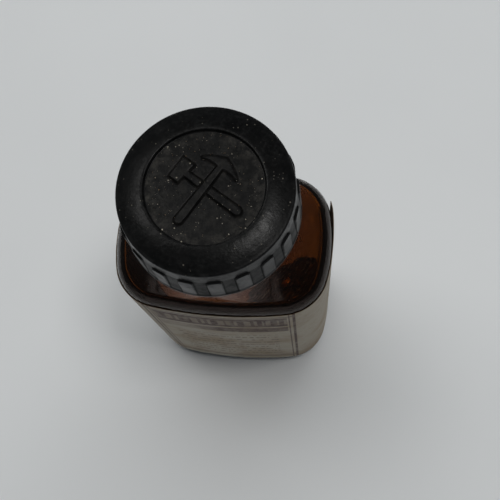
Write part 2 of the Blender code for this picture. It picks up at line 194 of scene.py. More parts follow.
def ring_stack_faces(rows: int, columns: int) -> tuple[Array, Array]:
    """Faces of a closed stack of rings whose first and last rings each meet in one pole.

    Ring i, column j is vertex i * columns + j. The first pole follows the rings, then the last.

    Args:
        rows: Number of rings.
        columns: Number of vertices in each ring.

    Returns:
        The quads between rings, and the triangles at the two poles.
    """
    i, j = np.meshgrid(np.arange(rows - 1), np.arange(columns), indexing="ij")
    k = (j + 1) % columns
    quads = np.stack([i * columns + j, i * columns + k, (i + 1) * columns + k, (i + 1) * columns + j], -1)
    column = np.arange(columns)
    after = (column + 1) % columns
    last = (rows - 1) * columns
    pole = np.full(columns, rows * columns)
    first_fan = np.stack([after, column, pole], -1)
    last_fan = np.stack([last + column, last + after, pole + 1], -1)
    return quads.reshape(-1, 4), np.concatenate([first_fan, last_fan])


def mesh_from_arrays(name: str, vertices: Array, quads: Array, triangles: Array) -> Object:
    """Make an object at the origin from whole arrays of vertices and faces.

    Args:
        name: Name of the object and its mesh.
        vertices: Array of (n, 3).
        quads: Array of (m, 4) vertex numbers.
        triangles: Array of (k, 3) vertex numbers, which may be empty.

    Returns:
        The new object, shaded smooth.
    """
    mesh = bpy.data.meshes.new(name)
    loops = np.concatenate([quads.ravel(), triangles.ravel()]).astype(np.int32)
    sizes = np.concatenate([np.full(len(quads), 4), np.full(len(triangles), 3)]).astype(np.int32)
    starts = np.concatenate([[0], np.cumsum(sizes)[:-1]]).astype(np.int32)
    mesh.vertices.add(len(vertices))
    mesh.vertices.foreach_set("co", np.asarray(vertices, np.float32).ravel())
    mesh.loops.add(len(loops))
    mesh.loops.foreach_set("vertex_index", loops)
    mesh.polygons.add(len(sizes))
    mesh.polygons.foreach_set("loop_start", starts)
    mesh.update(calc_edges=True)
    mesh.validate()
    mesh.shade_smooth()
    obj = bpy.data.objects.new(name, mesh)
    bpy.context.scene.collection.objects.link(obj)
    return obj


def stack_rings(name: str, rings: Array) -> Object:
    """Skin a stack of rings and close both ends with a pole at the end ring's middle.

    Args:
        name: Name of the object.
        rings: Array of (rows, columns, 3). Anticlockwise rings that rise face outwards.

    Returns:
        The new closed object.
    """
    rows, columns = rings.shape[:2]
    quads, fans = ring_stack_faces(rows, columns)
    vertices = np.concatenate([rings.reshape(-1, 3), [rings[0].mean(0), rings[-1].mean(0)]])
    return mesh_from_arrays(name, vertices, quads, fans)


def set_attribute(obj: Object, name: str, values: Array) -> None:
    """Store one number for each vertex, for the material to read.

    Args:
        obj: Object whose mesh gets the attribute.
        name: The attribute's name.
        values: One value for each vertex; two missing pole values repeat the nearest ring's mean.
    """
    flat = np.asarray(values, float)
    if flat.ndim == 2:
        flat = np.concatenate([flat.ravel(), [flat[0].mean(), flat[-1].mean()]])
    attribute = obj.data.attributes.new(name, "FLOAT", "POINT")
    attribute.data.foreach_set("value", flat.astype(np.float32))


def set_uv(obj: Object, coordinates: Array) -> None:
    """Give every face corner the (u, v) of its vertex.

    Args:
        obj: Object whose mesh gets a UV map.
        coordinates: Array of (vertices, 2).
    """
    corners = np.empty(len(obj.data.loops), np.int32)
    obj.data.loops.foreach_get("vertex_index", corners)
    layer = obj.data.uv_layers.new(name="print")
    layer.data.foreach_set("uv", coordinates[corners].astype(np.float32).ravel())


def scattered_grains(name: str, centres: Array, sizes: Array, seed: int) -> Object:
    """Many small stones in one mesh: a lumpy globe of four rings and two poles, copied by whole arrays.

    Args:
        name: Name of the object.
        centres: Array of (n, 3) places.
        sizes: Array of (n, 3) half lengths.
        seed: Picks the turns and the lumps.

    Returns:
        The object that holds every grain.
    """
    chance = np.random.default_rng(seed)
    rows, columns = 4, 6
    polar = np.linspace(0.18, 0.82, rows)[:, None] * math.pi
    around = (np.arange(columns) * TAU / columns)[None, :]
    globe = np.stack(np.broadcast_arrays(
        np.sin(polar) * np.cos(around), np.sin(polar) * np.sin(around), -np.cos(polar)), -1)
    points = np.concatenate([globe.reshape(-1, 3), [[0, 0, -1.0], [0, 0, 1.0]]])
    count = len(centres)
    lumps = 1.0 + chance.uniform(-0.22, 0.16, (count, len(points), 1))
    shaped = points[None] * lumps * sizes[:, None, :]
    turn = chance.uniform(0.0, TAU, (count, 1))
    x = shaped[..., 0] * np.cos(turn) - shaped[..., 1] * np.sin(turn)
    y = shaped[..., 0] * np.sin(turn) + shaped[..., 1] * np.cos(turn)
    placed = np.stack([x, y, shaped[..., 2]], -1) + centres[:, None, :]
    quads, fans = ring_stack_faces(rows, columns)
    offset = (np.arange(count) * len(points))[:, None, None]
    return mesh_from_arrays(name, placed.reshape(-1, 3), (quads[None] + offset).reshape(-1, 4),
                            (fans[None] + offset).reshape(-1, 3))


# Shader nodes -------------------------------------------------------------------------------


class NodeDesk:
    """Adds and links nodes in one node tree."""

    def __init__(self, tree: bpy.types.NodeTree) -> None:
        """Keep the tree to work on."""
        self.tree = tree

    def add(self, kind: str, inputs: Optional[dict[Any, Any]] = None, **settings: Any) -> bpy.types.Node:
        """Add one node.

        Args:
            kind: The node's type name.
            inputs: Input name or number to a value, or to the socket that feeds it.
            settings: The node's own properties.

        Returns:
            The new node.
        """
        node = self.tree.nodes.new(kind)
        for name, value in settings.items():
            setattr(node, name, value)
        for key, value in (inputs or {}).items():
            socket = node.inputs[key]
            if isinstance(value, Socket):
                self.tree.links.new(value, socket)
            elif isinstance(value, tuple) and len(value) == 3 and socket.type == "RGBA":
                socket.default_value = (*value, 1.0)
            else:
                socket.default_value = value
        return node

    def feed(self, source: Socket, node: bpy.types.Node, key: Any) -> None:
        """Link a socket to one of a node's inputs."""
        self.tree.links.new(source, node.inputs[key])

    def maths(self, operation: str, *values: Any, clamp: bool = False) -> Socket:
        """Add a Math node on sockets or numbers and return its result."""
        node = self.add("ShaderNodeMath", dict(enumerate(values)), operation=operation, use_clamp=clamp)
        return node.outputs[0]

    def times(self, first: Any, second: Any, clamp: bool = False) -> Socket:
        """Multiply two sockets or numbers."""
        return self.maths("MULTIPLY", first, second, clamp=clamp)

    def plus(self, first: Any, second: Any, clamp: bool = False) -> Socket:
        """Add two sockets or numbers."""
        return self.maths("ADD", first, second, clamp=clamp)

    def minus(self, first: Any, second: Any) -> Socket:
        """Subtract the second socket or number from the first."""
        return self.maths("SUBTRACT", first, second)

    def over(self, first: Any, second: Any) -> Socket:
        """Divide the first socket or number by the second."""
        return self.maths("DIVIDE", first, second)

    def larger(self, first: Any, *others: Any) -> Socket:
        """Return the largest of some sockets or numbers."""
        for other in others:
            first = self.maths("MAXIMUM", first, other)
        return first

    def blend(self, share: Any, first: Any, second: Any) -> Socket:
        """Mix two colours by share, 0 for the first, and return the result."""
        node = self.add("ShaderNodeMix", data_type="RGBA")
        for socket, value in ((node.inputs[0], share), (node.inputs[6], first), (node.inputs[7], second)):
            if isinstance(value, Socket):
                self.tree.links.new(value, socket)
            else:
                socket.default_value = (*value, 1.0) if isinstance(value, tuple) else value
        return node.outputs[2]

    def ramp(self, value: Any, low: float, high: float, start: float = 0.0, end: float = 1.0) -> Socket:
        """Map low..high smoothly on start..end and return the result."""
        node = self.add("ShaderNodeMapRange", {0: value, 1: low, 2: high, 3: start, 4: end},
                        interpolation_type="SMOOTHSTEP")
        return node.outputs[0]

    def noise(self, place: Any, scale: Any, detail: float = 3.0, rough: float = 0.55) -> Socket:
        """Add fractal noise on a place and return its value."""
        inputs = {"Vector": place, "Scale": scale, "Detail": detail, "Roughness": rough}
        return self.add("ShaderNodeTexNoise", inputs).outputs[0]

    def attribute(self, name: str) -> Socket:
        """Read a number that the mesh holds for each vertex."""
        return self.add("ShaderNodeAttribute", attribute_name=name).outputs["Fac"]

    def place(self) -> Socket:
        """Return the Object coordinates, in metres."""
        return self.add("ShaderNodeTexCoord").outputs["Object"]

    def group(self, tree: bpy.types.NodeTree, **inputs: Any) -> bpy.types.Node:
        """Place a node group; underscores in input names stand for spaces."""
        node = self.add("ShaderNodeGroup", node_tree=tree)
        for key, value in inputs.items():
            socket = node.inputs[key.replace("_", " ")]
            if isinstance(value, Socket):
                self.tree.links.new(value, socket)
            else:
                socket.default_value = value
        return node


class SharedEffects:
    """Node groups that more than one finish uses, each built once."""

    def __init__(self) -> None:
        """Build every group."""
        self.dust = self._dust()
        self.grain = self._grain()
        self.fibres = self._fibres()
        self.bar = self._bar()

    @staticmethod
    def _new(name: str, inputs: Iterable[tuple[str, str, Any]], outputs: Iterable[tuple[str, str]]
             ) -> tuple[bpy.types.NodeTree, NodeDesk, bpy.types.Node, bpy.types.Node]:
        """Start a group with named sockets.

        Args:
            name: The group's name.
            inputs: Name, short socket type and default value of each input.
            outputs: Name and short socket type of each output.

        Returns:
            The tree, a desk on it, and its input and output nodes.
        """
        tree = bpy.data.node_groups.new(name, "ShaderNodeTree")
        for label, kind, value in inputs:
            socket = tree.interface.new_socket(label, in_out="INPUT", socket_type=f"NodeSocket{kind}")
            if value is not None:
                socket.default_value = value
        for label, kind in outputs:
            tree.interface.new_socket(label, in_out="OUTPUT", socket_type=f"NodeSocket{kind}")
        desk = NodeDesk(tree)
        return tree, desk, desk.add("NodeGroupInput"), desk.add("NodeGroupOutput")

    def _dust(self) -> bpy.types.NodeTree:
        """Specks: small discs round scattered cell centres, kept where a broad noise is high."""
        tree, desk, given, result = self._new(
            "dust_specks",
            (("Place", "Vector", None), ("Scale", "Float", 1400.0), ("Size", "Float", 0.2),
             ("Amount", "Float", 0.5)),
            (("Specks", "Float"), ("Film", "Float")))
        where = {"Vector": given.outputs["Place"], "Scale": given.outputs["Scale"]}
        cells = desk.add("ShaderNodeTexVoronoi", where)
        size = desk.times(given.outputs["Size"], desk.add(
            "ShaderNodeSeparateColor", {0: cells.outputs["Color"]}).outputs[0])
        near = desk.minus(size, cells.outputs["Distance"])
        disc = desk.times(near, 14.0, clamp=True)
        broad = desk.noise(given.outputs["Place"], 230.0, 3.0)
        keep = desk.maths("LESS_THAN", broad, given.outputs["Amount"])
        desk.feed(desk.times(disc, keep), result, "Specks")
        film = desk.noise(given.outputs["Place"], 420.0, 6.0, 0.7)
        desk.feed(desk.ramp(film, 0.42, 0.72), result, "Film")
        return tree

    def _grain(self) -> bpy.types.NodeTree:
        """Fine and coarse unevenness of a surface, as one height."""
        tree, desk, given, result = self._new(
            "surface_grain",
            (("Place", "Vector", None), ("Fine", "Float", 4000.0), ("Coarse", "Float", 500.0),
             ("Share", "Float", 0.5)),
            (("Height", "Float"), ("Tone", "Float")))
        fine = desk.noise(given.outputs["Place"], given.outputs["Fine"], 3.0, 0.5)
        coarse = desk.noise(given.outputs["Place"], given.outputs["Coarse"], 4.0, 0.5)
        node = desk.add("ShaderNodeMix", {0: given.outputs["Share"], 2: coarse, 3: fine})
        desk.feed(node.outputs[0], result, "Height")
        desk.feed(coarse, result, "Tone")
        return tree

    def _fibres(self) -> bpy.types.NodeTree:
        """Matted fibres: noise drawn out along two crossing directions, the larger of the two."""
        tree, desk, given, result = self._new(
            "matted_fibres",
            (("Place", "Vector", None), ("Scale", "Float", 900.0)),
            (("Fibres", "Float"),))
        layers = []
        for turn, stretch in ((0.5, (1.0, 0.12, 1.0)), (-0.7, (0.14, 1.0, 1.0))):
            mapped = desk.add("ShaderNodeMapping", {"Vector": given.outputs["Place"], "Scale": stretch,
                                                    "Rotation": (0.3, turn, turn)})
            layers.append(desk.noise(mapped.outputs[0], given.outputs["Scale"], 4.0, 0.5))
        desk.feed(desk.larger(*layers), result, "Fibres")
        return tree

    def _bar(self) -> bpy.types.NodeTree:
        """Printed bar: 1 within half a width of the centre line, with soft edges."""
        tree, desk, given, result = self._new(
            "printed_bar",
            (("Across", "Float", 0.0), ("Centre", "Float", 0.0), ("Half", "Float", 0.1),
             ("Soft", "Float", 0.02)),
            (("Mask", "Float"),))
        away = desk.maths("ABSOLUTE", desk.minus(given.outputs["Across"], given.outputs["Centre"]))
        inside = desk.minus(given.outputs["Half"], away)
        desk.feed(desk.plus(desk.over(inside, given.outputs["Soft"]), 0.5, clamp=True), result, "Mask")
        return tree


def new_material(name: str) -> tuple[Material, NodeDesk, bpy.types.Node]:
    """Make a material with one Principled shader.

    Args:
        name: The material's name.

    Returns:
        The material, a desk on its nodes, and the shader.
    """
    material = bpy.data.materials.new(name)
    material.use_nodes = True
    desk = NodeDesk(material.node_tree)
    return material, desk, material.node_tree.nodes["Principled BSDF"]


def bumped(desk: NodeDesk, shader: bpy.types.Node, height: Socket, distance: float,
           strength: float = 1.0) -> None:
    """Feed a height into a shader's Normal through a Bump node.

    Args:
        desk: Desk on the material's nodes.
        shader: The Principled shader.
        height: The height, from 0 to 1.
        distance: How far a height of 1 stands up, in metres.
        strength: Share of the bump that is used.
    """
    bump = desk.add("ShaderNodeBump", {"Height": height, "Distance": distance, "Strength": strength})
    desk.feed(bump.outputs[0], shader, "Normal")


# Finishes -----------------------------------------------------------------------------------


@dataclass(frozen=True)
class AmberGlass:
    """Old brown glass: slightly wavy, lightly smudged, and dark through its thickness."""

    surface: Colour = (0.98, 0.94, 0.88)
    tint: Colour = (0.68, 0.50, 0.21)
    sheen: Colour = (0.62, 0.44, 0.37)
    density: float = 1400.0
    ior: float = 1.52
    wave: float = 0.09 * MM
    polish: float = 0.025
    smudge: float = 0.07
    speck: float = 0.3

    def build(self, effects: SharedEffects) -> Material:
        """Make the material.

        Args:
            effects: The shared node groups.

        Returns:
            The finished material.
        """
        material, desk, shader = new_material("amber_glass")
        place = desk.place()
        grain = desk.group(effects.grain, Place=place, Fine=900.0, Coarse=95.0, Share=0.06)
        dust = desk.group(effects.dust, Place=place, Scale=700.0, Size=0.2, Amount=0.42)
        smudges = desk.times(dust.outputs["Film"], self.smudge)
        rough = desk.plus(desk.times(dust.outputs["Specks"], self.speck), smudges)
        desk.feed(desk.plus(rough, self.polish), shader, "Roughness")
        shader.inputs["Base Color"].default_value = (*self.surface, 1.0)
        shader.inputs["IOR"].default_value = self.ior
        shader.inputs["Transmission Weight"].default_value = 1.0
        shader.inputs["Specular Tint"].default_value = (*self.sheen, 1.0)
        bumped(desk, shader, grain.outputs["Height"], self.wave)
        absorption = desk.add("ShaderNodeVolumeAbsorption", {"Color": self.tint, "Density": self.density})
        desk.feed(absorption.outputs[0], material.node_tree.nodes["Material Output"], "Volume")
        return material


@dataclass(frozen=True)
class BlackPhenolic:
    """Moulded black resin: satin, worn paler on its edges, with dust and dirt in the recess,
    and painted shade in its creases.

    The cap's mesh says where the finish changes: edge, rubbed, hollow and the crease shade mask
    are attributes that hold 0 to 1 at each vertex. The crease shade mask is painted shade: it
    darkens the groove round the emblem, a line round each lug and the gaps just below the lug tops.
    """

    black: Colour = (0.0022, 0.0023, 0.0024)
    worn: Colour = (0.013, 0.013, 0.013)
    dirt: Colour = (0.026, 0.024, 0.021)
    rubbed: Colour = (0.034, 0.035, 0.036)
    # painted shade: near-black laid into the grooves and round the lugs, where shade falls
    crease_shade: Colour = (0.0012, 0.0011, 0.0010)
    speck: Colour = (0.34, 0.31, 0.25)
    satin: float = 0.30
    film_rough: float = 0.18
    hollow_rough: float = 0.16
    crease_shade_rough: float = 0.55
    speck_rough: float = 0.4
    ior: float = 1.55
    specular: float = 0.16
    pebble: float = 0.05 * MM
    speck_height: float = 0.8

    def _colour(self, desk: NodeDesk, place: Socket, grain: bpy.types.Node, spots: Socket) -> Socket:
        """Lay the tones over each other, from the bare resin to the dust, with painted shade in the creases
        just before the dust.

        Args:
            desk: Desk on the material's nodes.
            place: Object coordinates.
            grain: The placed grain group.
            spots: Mask of the dust specks.

        Returns:
            The colour.
        """
        fine = desk.noise(place, 1500.0, 5.0, 0.72)
        tone = desk.blend(desk.ramp(fine, 0.42, 0.75), self.black, self.worn)
        tone = desk.blend(desk.ramp(grain.outputs["Tone"], 0.42, 0.6, 0.0, 0.7), self.black, tone)
        patches = desk.ramp(desk.noise(place, 620.0, 6.0, 0.75), 0.42, 0.66)
        tone = desk.blend(desk.times(desk.attribute("hollow"), patches), tone, self.dirt)
        wear = desk.times(desk.attribute("edge"), desk.ramp(desk.noise(place, 900.0, 4.0), 0.35, 0.65))
        tone = desk.blend(desk.times(wear, 0.7), tone, self.worn)
        handled = desk.times(desk.attribute("rubbed"), desk.ramp(fine, 0.25, 0.6, 0.55, 1.0))
        tone = desk.blend(handled, tone, self.rubbed)
        # painted shade: darkens the emblem's groove, the lug outlines and the gaps below the lug tops
        tone = desk.blend(desk.attribute("crease_shade"), tone, self.crease_shade)
        return desk.blend(spots, tone, self.speck)

    def build(self, effects: SharedEffects) -> Material:
        """Make the material.

        Args:
            effects: The shared node groups.

        Returns:
            The finished material.
        """
        material, desk, shader = new_material("black_phenolic")
        place = desk.place()
        hollow = desk.attribute("hollow")
        grain = desk.group(effects.grain, Place=place, Fine=2600.0, Coarse=330.0, Share=0.45)
        dust = desk.group(effects.dust, Place=place, Scale=1500.0, Size=0.24, Amount=0.47)
        gathered = desk.plus(desk.times(hollow, 0.8), 0.25)
        spots = desk.times(dust.outputs["Specks"], gathered)
        desk.feed(self._colour(desk, place, grain, spots), shader, "Base Color")
        rough = desk.plus(desk.times(dust.outputs["Film"], self.film_rough), self.satin)
        rough = desk.plus(rough, desk.times(hollow, self.hollow_rough))
        rough = desk.plus(rough, desk.times(desk.attribute("crease_shade"), self.crease_shade_rough))
        rough = desk.plus(rough, desk.times(spots, self.speck_rough), clamp=True)
        desk.feed(rough, shader, "Roughness")
        shader.inputs["IOR"].default_value = self.ior
        shader.inputs["Specular IOR Level"].default_value = self.specular
        height = desk.plus(grain.outputs["Height"], desk.times(spots, self.speck_height))
        bumped(desk, shader, height, self.pebble)
        return material


@dataclass(frozen=True)
class PrintedSheet:
    """Where a label's print goes: distances along it and down from its top, in millimetres."""

    desk: NodeDesk
    bars: bpy.types.NodeTree
    along: Socket
    down: Socket
    left: float
    right: float
    height: float

    @property
    def middle(self) -> float:
        """Distance along the label to the middle of its front panel."""
        return (self.left + self.right) / 2

    @property
    def half(self) -> float:
        """Half the front panel's width."""
        return (self.right - self.left) / 2

    def bar(self, across: Socket, centre: float, half_width: float, soft: float = 0.12) -> Socket:
        """Mask of one bar, across the label or down it."""
        bar = self.desk.group(self.bars, Across=across, Centre=centre, Half=half_width, Soft=soft)
        return bar.outputs["Mask"]


@dataclass(frozen=True)
class AgedPaper:
    """Browned label paper with a faded printed frame, a dark band and unlettered bars.

    The places and widths of the print are in millimetres.
    """

    cream: Colour = (0.40, 0.36, 0.30)
    brown: Colour = (0.28, 0.22, 0.15)
    ink: Colour = (0.070, 0.042, 0.044)
    glue: Colour = (0.075, 0.038, 0.016)
    line: float = 2.9
    thick_line: Pair = (0.25, 0.28)
    thin_line: Pair = (1.2, 0.14)
    inner_margin: float = 1.6
    title: float = 6.2
    title_half: float = 2.1
    title_fade: float = 0.5
    band_half: float = 3.9
    lower_band: float = 13.2
    lower_half: float = 2.1
    first_row: float = 16.5
    head_rail: Pair = (1.5, 0.3)
    foot_rail: float = 3.4
    roughness: float = 0.82
    specular: float = 0.3
    fibre_height: float = 0.03 * MM

    def _paper(self, desk: NodeDesk, place: Socket, fibres: Socket) -> Socket:
        """Bare paper: broad stains, with fibres that have browned most."""
        stain = desk.ramp(desk.noise(place, 75.0, 6.0, 0.62), 0.40, 0.72)
        paper = desk.blend(stain, self.cream, self.brown)
        return desk.blend(desk.times(desk.ramp(fibres, 0.45, 0.75), 0.35), paper, self.brown)

    def _frame(self, sheet: PrintedSheet) -> Socket:
        """A thick and a thin line down both sides of the front panel, and rails at its head and foot."""
        lines = []
        for edge, inward in ((sheet.left, 1.0), (sheet.right, -1.0)):
            for away, half_width in (self.thick_line, self.thin_line):
                lines.append(sheet.bar(sheet.along, edge + inward * away, half_width))
        level = sheet.height - self.foot_rail
        rails = sheet.desk.larger(
            sheet.bar(sheet.down, *self.head_rail),
            sheet.bar(sheet.down, level, 0.45),
            sheet.bar(sheet.down, level - self.inner_margin, 0.2))
        panel = sheet.bar(sheet.along, sheet.middle, sheet.half, 0.15)
        return sheet.desk.larger(*lines, sheet.desk.times(rails, panel))

    def _band(self, sheet: PrintedSheet) -> Socket:
        """A dark band with unlettered blocks let into it, and a narrower band that fades to the left."""
        desk = sheet.desk
        across = desk.add("ShaderNodeCombineXYZ", {0: sheet.along}).outputs[0]
        blocks = desk.ramp(desk.noise(across, 0.75, 1.0, 0.4), 0.47, 0.53)
        blocks = desk.times(sheet.bar(sheet.down, self.title, self.title_half, 0.3), blocks)
        solid = desk.minus(sheet.bar(sheet.down, self.title, self.band_half, 0.3),
                           desk.times(blocks, self.title_fade))
        fade = desk.ramp(sheet.along, sheet.left + 6.0, sheet.middle, 0.35, 0.95)
        lower = desk.times(sheet.bar(sheet.down, self.lower_band, self.lower_half, 0.3), fade)
        inner = sheet.bar(sheet.along, sheet.middle, sheet.half - self.inner_margin, 0.2)
        return desk.times(desk.larger(solid, lower), inner)

    def _dashes(self, sheet: PrintedSheet) -> Socket:
        """Rows of dashes of uneven length, which stand for small print."""
        desk = sheet.desk
        rows_down = desk.over(sheet.down, self.line)
        row_place = desk.add("ShaderNodeCombineXYZ", {0: sheet.along, 1: desk.maths("FLOOR", rows_down)})
        words = desk.ramp(desk.noise(row_place.outputs[0], 1.3, 2.0, 0.5), 0.44, 0.52)
        from_middle = desk.maths("ABSOLUTE", desk.minus(desk.maths("FRACT", rows_down), 0.5))
        rows = desk.minus(1.0, desk.ramp(from_middle, 0.14, 0.22))
        level = sheet.height - self.foot_rail
        block = desk.times(
            sheet.bar(sheet.down, (level + self.first_row) / 2, (level - self.first_row) / 2 - 2.4, 0.6),
            sheet.bar(sheet.along, sheet.middle, sheet.half - 4.0, 0.6))
        return desk.times(desk.times(rows, words), desk.times(block, 0.6))

    def build(self, effects: SharedEffects, length: float, height: float, front: Pair) -> Material:
        """Make the material for a label of one size; its UV map runs 0 to 1 each way.

        Args:
            effects: The shared node groups.
            length: The label's length round the bottle.
            height: The label's height.
            front: Distances along the label at which the front panel begins and ends.

        Returns:
            The finished material.
        """
        material, desk, shader = new_material("aged_paper")
        place = desk.place()
        flat = desk.add("ShaderNodeSeparateXYZ", {0: desk.add("ShaderNodeTexCoord").outputs["UV"]})
        along = desk.times(flat.outputs[0], length / MM)
        down = desk.times(desk.minus(1.0, flat.outputs[1]), height / MM)
        sheet = PrintedSheet(desk, effects.bar, along, down, front[0] / MM, front[1] / MM, height / MM)
        fibres = desk.group(effects.fibres, Place=place, Scale=1300.0).outputs["Fibres"]
        printed = desk.larger(self._frame(sheet), self._band(sheet), self._dashes(sheet))
        worn = desk.ramp(desk.noise(place, 520.0, 5.0, 0.7), 0.34, 0.62)
        ink_share = desk.times(printed, desk.minus(0.95, desk.times(worn, 0.35)))
        face = desk.blend(ink_share, self._paper(desk, place, fibres), self.ink)
        desk.feed(desk.blend(desk.attribute("glued"), face, self.glue), shader, "Base Color")
        shader.inputs["Roughness"].default_value = self.roughness
        shader.inputs["Specular IOR Level"].default_value = self.specular
        bumped(desk, shader, fibres, self.fibre_height)
        return material


@dataclass(frozen=True)
class Pulpboard:
    """Grey-brown board pressed from matted fibres."""

    pale: Colour = (0.46, 0.39, 0.28)
    dark: Colour = (0.27, 0.21, 0.14)

    def build(self, effects: SharedEffects) -> Material:
        """Make the material from the shared node groups."""
        material, desk, shader = new_material("pulpboard")
        place = desk.place()
        fibres = desk.group(effects.fibres, Place=place, Scale=1100.0).outputs["Fibres"]
        desk.feed(desk.blend(desk.ramp(fibres, 0.42, 0.72), self.pale, self.dark), shader, "Base Color")
        shader.inputs["Roughness"].default_value = 0.9
        bumped(desk, shader, fibres, 0.00006)
        return material


@dataclass(frozen=True)
class CreasedFoil:
    """Dull metal foil with fine rolled lines and tarnish."""

    bright: Colour = (0.72, 0.71, 0.70)
    tarnish: Colour = (0.42, 0.37, 0.30)
    crinkle: float = 0.05 * MM

    def build(self, effects: SharedEffects) -> Material:
        """Make the material from the shared node groups."""
        material, desk, shader = new_material("creased_foil")
        place = desk.place()
        grain = desk.group(effects.grain, Place=place, Fine=1800.0, Coarse=240.0, Share=0.3)
        spots = desk.ramp(grain.outputs["Tone"], 0.5, 0.7)
        desk.feed(desk.blend(spots, self.bright, self.tarnish), shader, "Base Color")
        desk.feed(desk.ramp(grain.outputs["Tone"], 0.3, 0.7, 0.22, 0.5), shader, "Roughness")
        shader.inputs["Metallic"].default_value = 1.0
        bumped(desk, shader, grain.outputs["Height"], self.crinkle)
        return material


@dataclass(frozen=True)
class BlackSand:
    """Dark heavy sand: mostly black iron grains with some brown and pale ones."""

    black: Colour = (0.018, 0.017, 0.017)
    brown: Colour = (0.10, 0.065, 0.040)
    pale: Colour = (0.34, 0.30, 0.24)
    grit: float = 0.12 * MM

    def build(self, effects: SharedEffects) -> Material:
        """Make the material from the shared node groups."""
        material, desk, shader = new_material("black_sand")
        place = desk.place()
        cells = desk.add("ShaderNodeTexVoronoi", {"Vector": place, "Scale": 2300.0})
        pick = desk.add("ShaderNodeSeparateColor", {0: cells.outputs["Color"]})
        colour = desk.blend(desk.maths("GREATER_THAN", pick.outputs[0], 0.72), self.black, self.brown)
        colour = desk.blend(desk.maths("GREATER_THAN", pick.outputs[1], 0.93), colour, self.pale)
        desk.feed(colour, shader, "Base Color")
        desk.feed(desk.ramp(pick.outputs[2], 0.0, 1.0, 0.35, 0.8), shader, "Roughness")
        grain = desk.group(effects.grain, Place=place, Fine=5200.0, Coarse=1900.0, Share=0.4)
        bumped(desk, shader, grain.outputs["Height"], self.grit)
        return material


@dataclass(frozen=True)
class NativeGold:
    """Rough natural gold, brighter where it has been rubbed and dark in its pits."""

    bright: Colour = (0.86, 0.60, 0.20)
    deep: Colour = (0.48, 0.27, 0.07)
    pitting: float = 0.10 * MM

    def build(self, effects: SharedEffects) -> Material:
        """Make the material from the shared node groups."""
        material, desk, shader = new_material("native_gold")
        place = desk.place()
        grain = desk.group(effects.grain, Place=place, Fine=3600.0, Coarse=1100.0, Share=0.45)
        tone = desk.ramp(grain.outputs["Tone"], 0.35, 0.62)
        desk.feed(desk.blend(tone, self.deep, self.bright), shader, "Base Color")
        desk.feed(desk.ramp(grain.outputs["Tone"], 0.35, 0.65, 0.5, 0.22), shader, "Roughness")
        shader.inputs["Metallic"].default_value = 1.0
        bumped(desk, shader, grain.outputs["Height"], self.pitting)
        return material


@dataclass(frozen=True)
class DustCrumb:
    """Pale mineral crumbs."""

    pale: Colour = (0.38, 0.35, 0.29)
    brown: Colour = (0.20, 0.13, 0.07)

    def build(self, effects: SharedEffects) -> Material:
        """Make the material from the shared node groups."""
        material, desk, shader = new_material("dust_crumb")
        grain = desk.group(effects.grain, Place=desk.place(), Fine=6000.0, Coarse=1500.0, Share=0.4)
        tone = desk.ramp(grain.outputs["Tone"], 0.42, 0.6)
        desk.feed(desk.blend(tone, self.brown, self.pale), shader, "Base Color")
        shader.inputs["Roughness"].default_value = 0.7
        return material


@dataclass(frozen=True)
class PaleTable:
    """Smooth pale table top."""

    colour: Colour = (0.72, 0.735, 0.745)

    def build(self, effects: SharedEffects) -> Material:
        """Make the material from the shared node groups."""
        material, desk, shader = new_material("pale_table")
        grain = desk.group(effects.grain, Place=desk.place(), Fine=300.0, Coarse=9.0, Share=0.25)
        shade = tuple(value * 0.97 for value in self.colour)
        tone = desk.ramp(grain.outputs["Tone"], 0.35, 0.65)
        desk.feed(desk.blend(tone, self.colour, shade), shader, "Base Color")
        shader.inputs["Roughness"].default_value = 0.55
        return material


# Shapes -------------------------------------------------------------------------------------


@dataclass
class BowedOutline:
    """Rectangle whose sides are shallow arcs, joined by tangent corner arcs.

    A point is its column's core point plus (corner - inset) along the column's outward direction,
    so every inset of the outline shares the same columns.
    """

    width: float
    depth: float
    corner: float = 9.2 * MM
    front_bow: float = 0.9 * MM
    side_bow: float = 0.5 * MM

    def _quarter(self, count: int) -> tuple[Array, Array]:
        """Core points and outward angles from the right-hand middle to the back middle."""
        core_x = self.width / 2 - self.side_bow - self.corner
        core_y = self.depth / 2 - self.front_bow - self.corner
        side_radius = (core_y ** 2 + self.side_bow ** 2) / (2 * self.side_bow)
        front_radius = (core_x ** 2 + self.front_bow ** 2) / (2 * self.front_bow)
        side_lean = math.asin(core_y / side_radius)
        front_lean = math.asin(core_x / front_radius)
        spans = (side_lean, math.pi / 2 - side_lean - front_lean, front_lean)
        lengths = np.cumsum([0.0, (side_radius + self.corner) * spans[0], self.corner * spans[1] * 1.4,
                             (front_radius + self.corner) * spans[2]])
        turns = np.cumsum([0.0, *spans])
        share = (np.arange(count) + 0.5) / count * lengths[-1]
        angle = np.interp(share, lengths, turns)
        on_side = (angle <= turns[1])[:, None]
        on_front = (angle >= turns[2])[:, None]
        direction = np.stack([np.cos(angle), np.sin(angle)], 1)
        side_core = np.array([core_x + self.side_bow - side_radius, 0.0]) + side_radius * direction
        front_core = np.array([0.0, core_y + self.front_bow - front_radius]) + front_radius * direction
        core = np.where(on_side, side_core, np.where(on_front, front_core, np.array([core_x, core_y])))
        return core, direction

    def columns(self, count: int) -> tuple[Array, Array]:
        """Core points and outward directions all the way round, anticlockwise from +X.

        Args:
            count: Number of columns, a multiple of four.

        Returns:
            Two arrays of (count, 2).
        """
        core, direction = self._quarter(count // 4)
        flip = np.array([-1.0, 1.0])
        half_core = np.concatenate([core, (core * flip)[::-1]])
        half_direction = np.concatenate([direction, (direction * flip)[::-1]])
        return np.concatenate([half_core, -half_core]), np.concatenate([half_direction, -half_direction])


